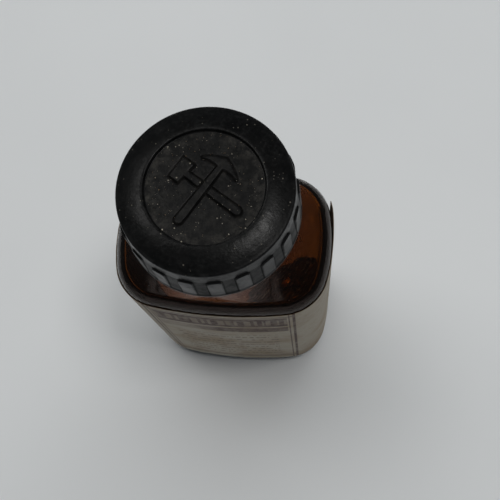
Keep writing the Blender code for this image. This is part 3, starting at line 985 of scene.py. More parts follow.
def thread_height(angle: Array, height: Array, start: float, turns: float, pitch: float, crest: float,
                  base: float, zero_angle: float = 0.0) -> Array:
    """Fullness of a right-handed thread: a rounded ridge along a helix that fades at both ends.

    The ridge's centre is at start + pitch * swept / turn for every turn that it has swept, and the
    fullness falls smoothly from 1 inside half the crest to 0 at half the base.

    Args:
        angle: Angles about the axis.
        height: Heights, of the same shape.
        start: Height of the ridge's centre at its lower end.
        turns: Number of turns.
        pitch: Rise for each turn.
        crest: Width of the ridge's top.
        base: Width of the ridge's foot.
        zero_angle: Angle of the ridge's lower end.

    Returns:
        Values from 0 to 1.
    """
    full = np.zeros(np.broadcast(angle, height).shape)
    fade = TAU / 12
    for turn in range(int(math.ceil(turns)) + 1):
        swept = np.mod(angle - zero_angle, TAU) + turn * TAU
        centre = start + pitch * swept / TAU
        ends = np.clip(np.minimum(swept, turns * TAU - swept) / fade, 0.0, 1.0)
        away = np.abs(height - centre)
        ridge = smooth_step(base / 2, crest / 2 * 0.8, away)
        full = np.maximum(full, ridge * np.sqrt(ends) * (ends > 0))
    return full


@dataclass
class GlassBottle:
    """One-piece glass bottle with wall, heel, shoulder, bead, thread and lip."""

    outline: BowedOutline
    lip_height: float
    body_height: float = 54.2 * MM
    edge_radius: float = 4.0 * MM
    edge_turn: float = 60.0
    shoulder_rise: float = 7.3 * MM
    slope_share: float = 0.55
    neck_radius: float = 12.55 * MM
    bore_radius: float = 9.7 * MM
    finish_height: float = 10.8 * MM
    bead_height: float = 1.8 * MM
    bead_proud: float = 0.9 * MM
    lip_round: float = 0.9 * MM
    thread_pitch: float = 4.233 * MM
    thread_depth: float = 1.05 * MM
    thread_crest: float = 0.9 * MM
    thread_base: float = 1.9 * MM
    wall: float = 2.2 * MM
    heel_radius: float = 2.6 * MM
    foot_width: float = 2.4 * MM
    push_up: float = 0.7 * MM
    floor: float = 4.1 * MM
    floor_curve: float = 3.2 * MM
    body_step: float = 1.1 * MM
    thread_step: float = 0.11 * MM
    inside_step: float = 1.4 * MM
    columns: int = 320

    @property
    def bead_z(self) -> float:
        """Height of the bead's lower side."""
        return self.lip_height - self.finish_height

    @property
    def thread_span(self) -> Pair:
        """Height of the thread's lower end and its number of turns."""
        low = self.bead_z + self.bead_height + 1.1 * MM + self.thread_base / 2
        high = self.lip_height - 0.6 * MM - 0.3 * MM - self.thread_base / 2
        return low, (high - low) / self.thread_pitch

    def _shoulder(self, inset: float, radius: float, low: float) -> Array:
        """Shoulder rows: a rounded edge, then a slope that turns upright as it meets the neck.

        Args:
            inset: How far the skin lies inside the outer outline.
            radius: Radius that the skin ends in.
            low: Height of the body's top.

        Returns:
            Rows of inset, height, share of the circle, and that circle's radius.
        """
        edge = max(self.edge_radius - inset, 0.8 * MM)
        turn = np.radians(np.linspace(0.0, self.edge_turn, 14))
        rounded = np.stack([inset + edge * (1 - np.cos(turn)), low + edge * np.sin(turn),
                            0 * turn, 0 * turn + radius], 1)
        share = np.sin(np.linspace(0.0, math.pi / 2, 26))[1:]
        share = 0.5 * share + 0.5 * np.linspace(0.0, 1.0, 26)[1:]
        bend = 1.0 - np.sqrt(np.maximum(0.0, 1.0 - share ** 2))
        climb = self.slope_share * share + (1.0 - self.slope_share) * bend
        slope = np.stack([np.full(len(share), rounded[-1, 0]), rounded[-1, 1] + self.shoulder_rise * climb,
                          share, np.full(len(share), radius)], 1)
        return np.concatenate([rounded, slope])

    def _rows(self) -> Array:
        """Every ring from the middle of the base, over the lip, to the middle of the inside floor."""
        foot_in = self.heel_radius + self.foot_width
        heel = np.radians(np.linspace(0.0, 90.0, 10))
        lip, bore, neck = self.lip_height, self.bore_radius, self.neck_radius
        base = join_rows(
            [13.6 * MM, self.push_up + 0.25 * MM, 0, neck],
            [10.0 * MM, self.push_up + 0.2 * MM, 0, neck],
            [foot_in + 1.0 * MM, self.push_up, 0, neck],
            [foot_in + 0.45 * MM, self.push_up * 0.6, 0, neck],
            [foot_in + 0.1 * MM, 0.06 * MM, 0, neck],
            [foot_in - 0.2 * MM, 0, 0, neck])
        heel_rows = np.stack([self.heel_radius * (1 - np.sin(heel)), self.heel_radius * (1 - np.cos(heel)),
                              0 * heel, 0 * heel + neck], 1)
        body = join_rows([0, self.body_height, 0, neck])
        shoulder = self._shoulder(0.0, neck, self.body_height)[1:]
        bead = np.radians(np.linspace(-90.0, 90.0, 11))
        bead_middle = self.bead_z + self.bead_height / 2
        bead_rows = np.stack([0 * bead, bead_middle + self.bead_height / 2 * np.sin(bead), 0 * bead + 1,
                              neck + self.bead_proud * np.sqrt(np.abs(np.cos(bead)))], 1)
        neck_rows = join_rows([0, lip - self.lip_round, 1, neck])
        turn = np.radians(np.linspace(0.0, 90.0, 8))[1:]
        lip_out = np.stack([0 * turn, lip - self.lip_round * (1 - np.sin(turn)), 0 * turn + 1,
                            neck - self.lip_round * (1 - np.cos(turn))], 1)
        lip_in = np.stack([0 * turn, lip - self.lip_round * (1 - np.cos(turn)), 0 * turn + 1,
                           bore + self.lip_round * (1 - np.sin(turn))], 1)
        inside = self._shoulder(self.wall, bore, self.body_height)[::-1]
        inside[:, 3] = bore
        curve = self.floor_curve
        floor = np.stack([self.wall + curve * (1 - np.cos(heel)), self.floor + curve * (1 - np.sin(heel)),
                          0 * heel, 0 * heel + bore], 1)
        end = join_rows(
            [12.0 * MM, self.floor + 0.25 * MM, 0, bore],
            [13.6 * MM, self.floor + 0.3 * MM, 0, bore])
        outer = np.concatenate([base, heel_rows, body, shoulder, bead_rows])
        return np.concatenate([
            self._spread(outer, self.body_step),
            self._spread(np.concatenate([outer[-1:], neck_rows]), self.thread_step)[1:],
            lip_out,
            lip_in,
            self._spread(np.concatenate([lip_in[-1:], inside, floor, end]), self.inside_step)[1:]])

    @staticmethod
    def _spread(rows: Array, step: float) -> Array:
        """Add rows where two are further apart than step, in height."""
        gaps = np.abs(np.diff(rows[:, 1]))
        counts = np.maximum(1, np.ceil(gaps / step).astype(int))
        place = np.concatenate([i + np.arange(n) / n for i, n in enumerate(counts)] + [[len(gaps)]])
        return np.stack([np.interp(place, np.arange(len(rows)), column) for column in rows.T], 1)

    def build(self) -> Object:
        """Blend each ring from the outline to the neck's circle, add the thread, and skin the rings.

        Ring point = (1 - share) * (core + (corner - inset) * outward) + share * radius * polar
        direction, and the thread adds its depth to the radius on the neck's outer wall. Rings
        whose inset is past 9 mm are also drawn in towards the axis.

        Returns:
            The bottle, as one closed object.
        """
        core, direction = self.outline.columns(self.columns)
        rows = self._rows()
        inset, height, share, radius = (column[:, None] for column in rows.T)
        reach = self.outline.corner - inset
        body = core[None] + reach[..., None] * direction[None]
        shrink = np.clip((inset - 9.0 * MM) / (6.0 * MM), 0.0, 0.9)
        body = body * (1.0 - shrink[..., None])
        rim = core + self.outline.corner * direction
        polar = np.arctan2(rim[:, 1], rim[:, 0])
        low, turns = self.thread_span
        outside = np.arange(len(rows))[:, None] < np.argmax(rows[:, 1])
        on_neck = (height > self.bead_z + self.bead_height) & outside
        thread = thread_height(polar[None], height, low, turns, self.thread_pitch,
                               self.thread_crest, self.thread_base)
        radius = radius + np.where(on_neck, thread * self.thread_depth, 0.0)
        ring = radius[..., None] * np.stack([np.cos(polar), np.sin(polar)], -1)[None]
        flat = (1.0 - share[..., None]) * body + share[..., None] * ring
        points = np.concatenate([flat, np.broadcast_to(height[..., None], flat.shape[:2] + (1,))], -1)
        ripple = layered_noise(points, 9.0 * MM, 5) * 0.05 * MM * (1.0 - share) * (height > 5 * MM)
        points[..., :2] -= np.abs(ripple)[..., None] * direction[None]
        return stack_rings("glass_bottle", points)


@dataclass
class ScrewCap:
    """Moulded cap: flange, raised lugs, skirt, domed rim, sunk panel with a relief, inner thread."""

    foot: float
    top: float
    lip_height: float
    skirt_top: float = 14.85 * MM
    skirt_bottom: float = 15.45 * MM
    flange_radius: float = 15.62 * MM
    flange_height: float = 0.6 * MM
    top_rise: float = 1.2 * MM
    edge_round: float = 0.4 * MM
    recess_radius: float = 9.95 * MM
    recess_depth: float = 0.7 * MM
    bore: float = 13.95 * MM
    thread_crest_radius: float = 12.9 * MM
    thread_pitch: float = 4.233 * MM
    thread_crest: float = 0.9 * MM
    thread_base: float = 1.9 * MM
    neck_thread_low: float = 73.41 * MM
    liner_seat: float = 13.3 * MM
    ceiling: float = 81.81 * MM
    lug_count: int = 20
    lug_fill: float = 0.53
    lug_drop: float = 2.9 * MM
    lug_proud: float = 0.35 * MM
    lug_phase: float = math.radians(-8.2)
    relief: float = 0.24 * MM
    emblem_lean: float = -12.0
    foot_round: float = 0.15 * MM
    columns_per_lug: int = 27

    @property
    def edge_z(self) -> float:
        """Height at which the skirt meets the domed rim."""
        return self.top - self.top_rise

    def _inside(self) -> tuple[Array, slice]:
        """Profile rows from the ceiling's middle, down the threaded bore, to the foot.

        Returns:
            The rows of radius and height, and the slice that holds the threaded wall.
        """
        ceiling = join_rows(
            [0.5 * MM, self.ceiling],
            [4.0 * MM, self.ceiling],
            [8.0 * MM, self.ceiling],
            [self.liner_seat - 0.25 * MM, self.ceiling],
            [self.liner_seat, self.ceiling - 0.2 * MM],
            [self.liner_seat, self.lip_height + 0.1 * MM])
        wall_top, wall_foot = self.lip_height - 0.6 * MM, self.foot + 0.35 * MM
        wall = np.stack([np.full(36, self.bore), np.linspace(wall_top, wall_foot, 36)], 1)
        mouth = join_rows([self.bore + 0.3 * MM, self.foot + 0.05 * MM], [self.bore + 0.45 * MM, self.foot])
        rows = np.concatenate([ceiling, wall, mouth])
        return rows, slice(len(ceiling), len(ceiling) + len(wall))

    def _outside(self) -> Array:
        """Profile rows from the flange's foot, up the skirt and over the rim, to the sunk panel."""
        small = self.foot_round
        ledge = self.foot + self.flange_height
        flange = np.concatenate([
            arc_rows((self.flange_radius - small, self.foot + small), small, -90, 0, 4),
            arc_rows((self.flange_radius - small, ledge - small), small, 0, 70, 4)])
        skirt_foot = join_rows(
            [self.skirt_bottom + 0.10 * MM, ledge + 0.02 * MM],
            [self.skirt_bottom, ledge + 0.14 * MM])
        bend = self.edge_round
        corner = arc_rows((self.skirt_top - bend, self.edge_z - bend), bend, 0, 78, 8)
        levels = self.edge_z - self.lug_drop + np.array([-1.1, 0.25]) * MM
        lean = (self.skirt_top - self.skirt_bottom) / (corner[0, 1] - skirt_foot[-1, 1])
        steps = np.stack([self.skirt_bottom + lean * (levels - skirt_foot[-1, 1]), levels], 1)
        skirt = np.concatenate([refined(np.concatenate([skirt_foot, steps[:1]]), 0.5 * MM)[:-1],
                                refined(steps, 0.09 * MM)[:-1],
                                refined(np.concatenate([steps[1:], corner[:1]]), 0.5 * MM)])
        lip = self.recess_radius + 0.35 * MM
        rise = np.linspace(0.0, 1.0, 15)[1:]
        reach = corner[-1, 0] - lip
        dome = np.stack([corner[-1, 0] - reach * rise,
                         corner[-1, 1] + (self.top - corner[-1, 1]) * (1 - (1 - rise) ** 1.5)], 1)
        fall = arc_rows((lip - 0.05 * MM, self.top - 0.22 * MM), 0.22 * MM, 80, 180, 6)
        panel = self.top - self.recess_depth
        sink = join_rows([self.recess_radius + 0.04 * MM, self.top - 0.45 * MM],
                         [self.recess_radius + 0.02 * MM, panel + 0.06 * MM],
                         [self.recess_radius - 0.12 * MM, panel])
        reach = np.concatenate([np.linspace(self.recess_radius - 0.22 * MM, 7.7 * MM, 9)[:-1],
                                np.linspace(7.7 * MM, 0.12 * MM, 60)])
        flat = np.stack([reach, np.full(len(reach), panel)], 1)
        return np.concatenate([flange, skirt[:-1], corner, dome, fall, sink, flat])

    def _lug_distance(self, angle: Array, height: Array) -> Array:
        """Signed distance on the skirt from the nearest lug, a block with rounded upper corners.

        Args:
            angle: Angles about the axis.
            height: Heights, of the same shape.

        Returns:
            Distances in metres, negative on the lugs.
        """
        pitch = TAU / self.lug_count
        local = np.mod(angle - self.lug_phase + pitch / 2, pitch) - pitch / 2
        across = np.abs(local) * self.skirt_bottom
        half = pitch * self.lug_fill / 2 * self.skirt_bottom
        top = self.edge_z - self.lug_drop
        corner = 0.75 * MM
        dx = across - (half - corner)
        dz = height - (top - corner)
        return np.hypot(np.maximum(dx, 0), np.maximum(dz, 0)) + np.minimum(np.maximum(dx, dz), 0) - corner

    def _inner_thread(self, angle: Array, height: Array) -> Array:
        """How far the inner thread stands in from the bore, half a turn from the neck's thread.

        Args:
            angle: Angles about the axis.
            height: Heights, of the same shape.

        Returns:
            Depths in metres.
        """
        low = self.foot + 0.35 * MM + 0.2 * MM + self.thread_base / 2
        high = self.lip_height - 0.6 * MM - 0.2 * MM - self.thread_base / 2
        zero = TAU * ((low - self.neck_thread_low) / self.thread_pitch + 0.5)
        turns = (high - low) / self.thread_pitch
        fullness = thread_height(angle, height, low, turns, self.thread_pitch,
                                 self.thread_crest, self.thread_base, zero)
        return fullness * (self.bore - self.thread_crest_radius)

    @staticmethod
    def _segment(points: Array, start: Array, end: Array, width: Pair) -> Array:
        """Signed distance from a bar with rounded ends whose half width changes evenly along it."""
        run = end - start
        along = np.clip(((points - start) @ run) / (run @ run), 0.0, 1.0)
        gap = np.linalg.norm(points - (start + along[..., None] * run), axis=-1)
        return gap - (width[0] + (width[1] - width[0]) * along)

    def _emblem(self, x: Array, y: Array) -> Array:
        """Signed distance from a crossed pick and hammer, in metres, negative inside.

        Each tool is a tapering handle and a head. The pick's head is a strip along an arc that
        narrows to its two tips, and the hammer's head is a short block. A narrow gap parts the
        hammer from the pick's handle where they cross. Inside, sizes are in millimetres.

        Args:
            x: Places across the panel.
            y: Places up the panel.

        Returns:
            One distance for each place.
        """
        points = np.stack([x, y], -1) / MM
        turn = math.radians(44)
        up = np.array([math.sin(turn), math.cos(turn)])
        side = np.array([math.cos(turn), -math.sin(turn)])
        handle_foot, head_middle, taper = up * -6.8, up * 5.0, (0.72, 0.5)
        pick, hammer = points, points * np.array([-1.0, 1.0])

        pick_handle = self._segment(pick, handle_foot, up * 5.6, taper)
        local = np.stack([(pick - head_middle) @ side, (pick - head_middle) @ up], -1)
        radius = 6.6
        arc = np.abs(np.hypot(local[..., 0], local[..., 1] + radius) - radius)
        reach = np.abs(np.arctan2(local[..., 0], local[..., 1] + radius)) * radius
        pick_head = np.maximum(arc - np.clip(0.95 - 0.23 * reach, 0.06, 0.95), reach - 3.7)

        hammer_handle = self._segment(hammer, handle_foot, up * 5.2, taper)
        local = np.stack([(hammer - head_middle) @ side, (hammer - head_middle) @ up], -1)
        head_half = 1.1 - 0.06 * local[..., 0]
        hammer_head = np.maximum(np.abs(local[..., 0]) - 2.0, np.abs(local[..., 1]) - head_half)

        distance = np.minimum.reduce([pick_handle, pick_head, hammer_handle, hammer_head])
        on_hammer = np.minimum(hammer_handle, hammer_head) < 0
        gap = np.where(on_hammer, np.abs(pick_handle - 0.16) - 0.14, 9.0)
        return np.maximum(distance, -gap) * MM

    def build(self) -> Object:
        """Turn the profile, add lugs, inner thread, relief, wear and painted crease shade, and skin the
        rings.

        Lugs add their fullness to the radius on the skirt; the thread takes its fullness from
        the radius of the bore; the relief drops a groove along the emblem's edge and lifts its
        inside; the panel and rim carry a little moulded unevenness.

        Returns:
            The cap, as one closed object.
        """
        inside, wall = self._inside()
        outside = self._outside()
        rows = np.concatenate([inside, outside])
        columns = self.lug_count * self.columns_per_lug
        angle = (np.arange(columns) * TAU / columns)[None, :] + 0 * rows[:, :1]
        radius = rows[:, :1] + 0 * angle
        height = rows[:, 1:] + 0 * angle

        radius[wall] -= self._inner_thread(angle[wall], height[wall])

        skin = slice(len(inside), None)
        away = self._lug_distance(angle[skin], height[skin])
        lug = smooth_step(0.05 * MM, -0.07 * MM, away)
        ledge = self.foot + self.flange_height
        on_skirt = (height[skin] > ledge + 0.01 * MM) & (radius[skin] > self.skirt_top - 0.02 * MM)
        lug = lug * on_skirt
        # painted shade: a thin dark line along each lug's outline
        lug_outline_shade = np.exp(-(((away - 0.06 * MM) / (0.11 * MM)) ** 2)) * on_skirt
        sunk = smooth_step(self.edge_z - self.lug_drop, ledge, height[skin])
        lug_top = self.edge_z - self.lug_drop
        # below the lug tops; used only for the painted shade in the gaps between the lugs
        sunk_part = smooth_step(lug_top + 0.3 * MM, lug_top - 0.5 * MM, height[skin])
        radius[skin] += lug * self.lug_proud * (1.0 - 0.8 * sunk)

        x, y = radius * np.cos(angle), radius * np.sin(angle)
        on_panel = (rows[:, :1] < self.recess_radius - 0.15 * MM) & (rows[:, 1:] > self.ceiling + 0.3 * MM)
        lean = math.radians(self.emblem_lean)
        mark = self._emblem(x * math.cos(lean) - y * math.sin(lean),
                            x * math.sin(lean) + y * math.cos(lean))
        lifted = smooth_step(0.10 * MM, -0.12 * MM, mark)
        groove = np.exp(-(((mark - 0.14 * MM) / (0.13 * MM)) ** 2))
        height += on_panel * self.relief * (lifted - 0.9 * groove)
        points = np.stack([x, y, height], -1)
        top_side = (rows[:, 1:] > self.edge_z + 0.05 * MM) & (np.arange(len(rows))[:, None] >= len(inside))
        dent = layered_noise(points, 1.6 * MM, 21) * 0.022 * MM
        dent += layered_noise(points, 0.4 * MM, 33, 2) * 0.016 * MM
        points[..., 2] -= top_side * np.abs(dent)

        cap = stack_rings("screw_cap", points)
        inner_edge = np.exp(-((rows[:, :1] - self.recess_radius - 0.25 * MM) / (0.28 * MM)) ** 2) * top_side
        outer_edge = np.exp(-((rows[:, 1:] - self.edge_z + 0.2 * MM) / (0.3 * MM)) ** 2)
        ring_edge = inner_edge + outer_edge * (rows[:, :1] > self.skirt_top - 0.6 * MM)
        sides = np.zeros_like(radius)
        sides[skin] = 4.0 * lug * (1.0 - lug)
        edges = np.clip(ring_edge + sides * 0.6 + on_panel * lifted * (1 - lifted) * 2.4, 0.0, 1.0)
        set_attribute(cap, "edge", edges)
        # painted shade mask: the emblem's groove, the lug outlines, and the gaps below the lug tops
        crease_shade = on_panel * groove * 0.85
        crease_shade[skin] += lug_outline_shade * 0.8 + 0.32 * smooth_step(0.0, 0.12 * MM, away) * on_skirt * sunk_part
        set_attribute(cap, "crease_shade", np.clip(crease_shade, 0.0, 1.0))
        rubbed = np.zeros_like(radius)
        rubbed[skin] = smooth_step(-0.05 * MM, -0.22 * MM, away) * on_skirt + 0.45 * (height[skin] < ledge)
        set_attribute(cap, "rubbed", rubbed)
        wall_dirt = smooth_step(self.recess_radius - 2.6 * MM, self.recess_radius, rows[:, :1])
        hollow = on_panel * (0.35 + 0.65 * np.maximum(wall_dirt, groove))
        set_attribute(cap, "hollow", np.clip(hollow, 0, 1) + 0 * radius)
        return cap


@dataclass
class CapLiner:
    """Pulpboard disc and foil facing that close on the glass lip."""

    radius: float = 13.0 * MM
    mark_radius: float = 11.1 * MM
    columns: int = 160

    def _disc(self, name: str, low: float, high: float, dent: float, mottle: float) -> Object:
        """A disc with rounded edges, slightly uneven, with the lip's ring pressed into its underside.

        Args:
            name: Name of the object.
            low: Height of its underside.
            high: Height of its top.
            dent: Depth of the ring pressed into its underside.
            mottle: Depth of the underside's unevenness; the top has 0.6 of it.

        Returns:
            The new closed object.
        """
        bend = (high - low) * 0.35
        reach = np.linspace(0.4 * MM, self.radius - bend, 40)
        under = np.stack([reach, np.full(len(reach), low)], 1)
        edge_low = arc_rows((self.radius - bend, low + bend), bend, -90, 0, 5)[1:]
        edge_high = arc_rows((self.radius - bend, high - bend), bend, 0, 90, 5)
        over = np.stack([reach[::-1], np.full(len(reach), high)], 1)[1:]
        rows = np.concatenate([under, edge_low, edge_high, over])
        angle = (np.arange(self.columns) * TAU / self.columns)[None, :]
        around = (rows[:, :1] * np.cos(angle), rows[:, :1] * np.sin(angle), rows[:, 1:])
        points = np.stack(np.broadcast_arrays(*around), -1).copy()
        print_ring = np.exp(-((rows[:, :1] - self.mark_radius) / (0.9 * MM)) ** 2)
        uneven = np.abs(layered_noise(points, 1.6 * MM, 41)) * mottle
        is_under = np.arange(len(rows))[:, None] < len(under)
        worn_top = -uneven * 0.6 * (rows[:, :1] < self.radius - bend)
        points[..., 2] += np.where(is_under, print_ring * dent + uneven, worn_top)
        return stack_rings(name, points)

    def build(self, backing: Pair, facing: Pair) -> tuple[Object, Object]:
        """Make both discs.

        Args:
            backing: Lowest and highest level of the board.
            facing: Lowest and highest level of the foil.

        Returns:
            The board and the foil.
        """
        board = self._disc("pulpboard_backing", *backing, 0.10 * MM, 0.05 * MM)
        foil = self._disc("foil_facing", *facing, 0.04 * MM, 0.02 * MM)
        return board, foil


@dataclass
class PaperLabel:
    """Paper strip round the front and both sides, with worn edges and a lifted right-hand end."""

    outline: BowedOutline
    bottom: float
    top: float
    thickness: float = 0.12 * MM
    gap: float = 0.08 * MM
    end_back: float = 9.7 * MM
    flap_length: float = 12.0 * MM
    flap_lift: float = 0.7 * MM
    along: int = 430
    up: int = 80

    def _path(self) -> tuple[Array, Array]:
        """Places and outward directions along the label, from its left-hand end round the front."""
        core, direction = self.outline.columns(1600)
        glass = core + self.outline.corner * direction
        sweep = np.mod(np.arctan2(glass[:, 1], glass[:, 0]) + math.pi / 2 + math.pi, TAU) - math.pi
        limit = math.atan2(self.end_back, self.outline.width / 2 - self.outline.side_bow) + math.pi / 2
        order = np.argsort(sweep)
        order = order[np.abs(sweep[order]) <= limit]
        glass, direction = glass[order], direction[order]
        length = np.concatenate([[0.0], np.cumsum(np.linalg.norm(np.diff(glass, axis=0), axis=1))])
        place = np.linspace(0.0, length[-1], self.along)
        path = np.stack([np.interp(place, length, glass[:, i]) for i in range(2)], 1)
        out = np.stack([np.interp(place, length, direction[:, i]) for i in range(2)], 1)
        return path, out / np.linalg.norm(out, axis=1)[:, None]

    def build(self) -> tuple[Object, float, Pair]:
        """Follow the glass at a small gap, lift the end, and give the sheet its thickness.

        The lift grows as the square of the share of the flap that has been passed. The top and
        bottom edges are nibbled by noise, and the sheet cockles slightly outwards.

        Returns:
            The label, its length, and where along it the front panel begins and ends.
        """
        path, out = self._path()
        steps = np.linalg.norm(np.diff(path, axis=0), axis=1)
        place = np.concatenate([[0.0], np.cumsum(steps)])
        length = float(place[-1])
        level = np.linspace(0.0, 1.0, self.up)
        to_end = length - place
        lift = self.flap_lift * np.clip(1.0 - to_end / self.flap_length, 0.0, 1.0) ** 2
        tall = self.top - self.bottom
        flat = np.stack(np.broadcast_arrays(place[None, :], level[:, None] * tall, 0.0), -1)
        nibble = np.abs(layered_noise(flat, 1.1 * MM, 61)) * 0.30 * MM
        height = self.bottom + level[:, None] * tall + 0 * place[None, :]
        height -= nibble * smooth_step(0.96, 1.0, level)[:, None]
        height += nibble * smooth_step(0.04, 0.0, level)[:, None]
        free = np.clip(1.0 - to_end / self.flap_length, 0.0, 1.0)
        curl = lift[None, :] * (0.75 + 0.25 * level[:, None])
        cockle = (0.5 + 0.5 * layered_noise(flat, 5.0 * MM, 71, 2)) * 0.05 * MM * (1.0 - free)[None, :]
        inner_gap = self.gap * 0.5 + curl + 0.9 * cockle
        inner = path[None] + out[None] * inner_gap[..., None]
        outer = path[None] + out[None] * (inner_gap + self.thickness)[..., None]
        sheet = np.stack([np.concatenate([face, height[..., None]], -1) for face in (outer, inner)])
        rows, columns = self.up, self.along
        size = rows * columns
        number = np.arange(size).reshape(rows, columns)
        a, b, c, d = number[:-1, :-1], number[:-1, 1:], number[1:, 1:], number[1:, :-1]
        front = np.stack([a, b, c, d], -1).reshape(-1, 4)
        back = front[:, ::-1] + size
        rim = np.concatenate([number[0, :-1], number[:-1, -1], number[-1, :0:-1], number[:0:-1, 0]])
        after = np.roll(rim, -1)
        sides = np.stack([after, rim, rim + size, after + size], -1)
        label = mesh_from_arrays("paper_label", sheet.reshape(-1, 3), np.concatenate([front, back, sides]),
                                 np.zeros((0, 3), int))
        set_attribute(label, "glued", np.repeat([0.0, 1.0], size))
        uv = np.stack(np.broadcast_arrays(place[None, :] / length, level[:, None]), -1).reshape(-1, 2)
        set_uv(label, np.concatenate([uv, uv]))
        facing = out[:, 1] < -0.93
        front_place = place[facing]
        return label, length, (float(front_place.min()), float(front_place.max()))


@dataclass
class GoldSample:
    """Black sand on the bottle's floor, with loose grains and gold pieces on it."""

    outline: BowedOutline
    floor: float = 4.1 * MM
    wall: float = 2.2 * MM
    clearance: float = 0.3 * MM
    depth: float = 5.5 * MM
    crown: float = 1.2 * MM
    heel: float = 2.6 * MM
    columns: int = 280

    def surface(self, x: Array, y: Array) -> Array:
        """Height of the sand: a level plus a crown that falls as a cosine towards the glass."""
        half_width = self.outline.width / 2 - self.wall
        half_depth = self.outline.depth / 2 - self.wall
        spread = np.clip((x / half_width) ** 2 + (y / half_depth) ** 2, 0.0, 1.0)
        return self.floor + self.depth + self.crown * np.cos(spread * math.pi / 2)

    def bed(self) -> Object:
        """The bed: rounded foot, sides clear of the glass, and an uneven crowned surface."""
        core, direction = self.outline.columns(self.columns)
        side = self.wall + self.clearance
        foot = self.floor + self.clearance
        turn = np.radians(np.linspace(0.0, 90.0, 8))
        inset = side + self.heel * (1 - np.sin(turn))
        low = foot + self.heel * (1 - np.cos(turn))
        reach = (self.outline.corner - inset)[:, None, None]
        foot_rings = core[None] + reach * direction[None]
        foot_rings = np.concatenate([foot_rings[:1] * 0.5, foot_rings])
        low = np.concatenate([[foot], low])
        rim = foot_rings[-1]
        share = np.linspace(1.0, 0.04, 70)[:, None, None]
        top = rim[None] * share
        top_height = self.surface(top[..., 0], top[..., 1])
        rings = np.concatenate([foot_rings, top])
        height = np.concatenate([np.broadcast_to(low[:, None], (len(low), self.columns)), top_height])
        points = np.concatenate([rings, height[..., None]], -1)
        rough = np.abs(layered_noise(points, 1.1 * MM, 81)) * 0.22 * MM
        rough += np.abs(lattice_noise(points, 0.28 * MM, 91)) * 0.10 * MM
        is_top = (np.arange(len(rings)) >= len(low))[:, None]
        points[..., 2] -= rough * is_top
        shrink = (np.abs(lattice_noise(points, 0.5 * MM, 95)) * 0.12 * MM * ~is_top)[..., None]
        points[..., :2] -= shrink * direction[None]
        return stack_rings("sand_bed", points)

    def grains(self, count: int = 2600) -> Object:
        """Loose grains partly sunk in the surface of the bed."""
        chance = np.random.default_rng(17)
        angle = chance.uniform(0.0, TAU, count)
        reach = np.sqrt(chance.uniform(0.0, 0.9, count)) * 0.93
        x = reach * np.cos(angle) * (self.outline.width / 2 - self.wall - 0.6 * MM)
        y = reach * np.sin(angle) * (self.outline.depth / 2 - self.wall - 0.6 * MM)
        size = chance.uniform(0.10, 0.24, (count, 3)) * MM
        z = self.surface(x, y) - 0.16 * MM
        return scattered_grains("loose_grains", np.stack([x, y, z], 1), size, 19)

    @staticmethod
    def nugget(number: int, low: Vector, high: Vector) -> Object:
        """One rough rounded piece inside a box: a globe with broad and fine hollows.

        Args:
            number: The piece's number, which also picks its shape.
            low: The box's lowest corner.
            high: The box's highest corner.

        Returns:
            The new closed object.
        """
        rows, columns = 46, 72
        polar = np.linspace(0.02, 0.98, rows)[:, None] * math.pi
        around = (np.arange(columns) * TAU / columns)[None, :]
        ball = np.stack(np.broadcast_arrays(np.sin(polar) * np.cos(around), np.sin(polar) * np.sin(around),
                                            -np.cos(polar)), -1)
        hollow = np.abs(layered_noise(ball, 0.75, 100 + number, 4)) * 0.26
        hollow += np.abs(lattice_noise(ball, 0.16, 200 + number)) * 0.05
        shaped = ball * (1.0 - hollow)[..., None]
        spread = np.abs(shaped).reshape(-1, 3).max(0)
        centre = (np.array(low) + np.array(high)) / 2
        half = (np.array(high) - np.array(low)) / 2 * 0.97
        points = shaped / spread * half
        points[..., 2] += np.array(low)[2] - centre[2] - points[..., 2].min() + 0.01 * MM
        return stack_rings(f"gold_nugget_{number}", points + centre)


@dataclass
class CapCrumbs:
    """Pale crumbs that lie in the cap's sunk panel."""

    panel: float
    recess_radius: float = 9.7 * MM
    count: int = 150

    def build(self) -> Object:
        """Scatter the crumbs, most of them near the panel's edge.

        Returns:
            The object that holds every crumb.
        """
        chance = np.random.default_rng(29)
        angle = chance.uniform(0.0, TAU, self.count)
        reach = self.recess_radius * np.power(chance.uniform(0.02, 1.0, self.count), 0.38) * 0.985
        size = (chance.pareto(3.2, (self.count, 1)) * 0.035 + 0.035) * MM
        size = np.minimum(size, 0.13 * MM) * chance.uniform(0.7, 1.2, (self.count, 3))
        centre = np.stack([reach * np.cos(angle), reach * np.sin(angle), self.panel + size[:, 2] * 0.7], 1)
        return scattered_grains("cap_crumbs", centre, size, 31)


# Stage --------------------------------------------------------------------------------------


@dataclass(frozen=True)
class SoftLight:
    """A rectangular light that looks at the bottle; mirrored says whether glossy surfaces show it."""

    name: str
    place: Point
    size: Pair
    power: float
    colour: Colour = (1.0, 1.0, 1.0)
    mirrored: bool = True

    def build(self, target: Vector) -> Object:
        """Make the light, aimed at the target."""
        data = bpy.data.lights.new(self.name, "AREA")
        data.shape = "RECTANGLE"
        data.size, data.size_y = self.size
        data.energy = self.power
        data.color = self.colour
        lamp = bpy.data.objects.new(self.name, data)
        lamp.location = self.place
        lamp.visible_glossy = self.mirrored
        lamp.rotation_mode = "QUATERNION"
        lamp.rotation_quaternion = (target - lamp.location).to_track_quat("-Z", "Y")
        bpy.context.scene.collection.objects.link(lamp)
        return lamp


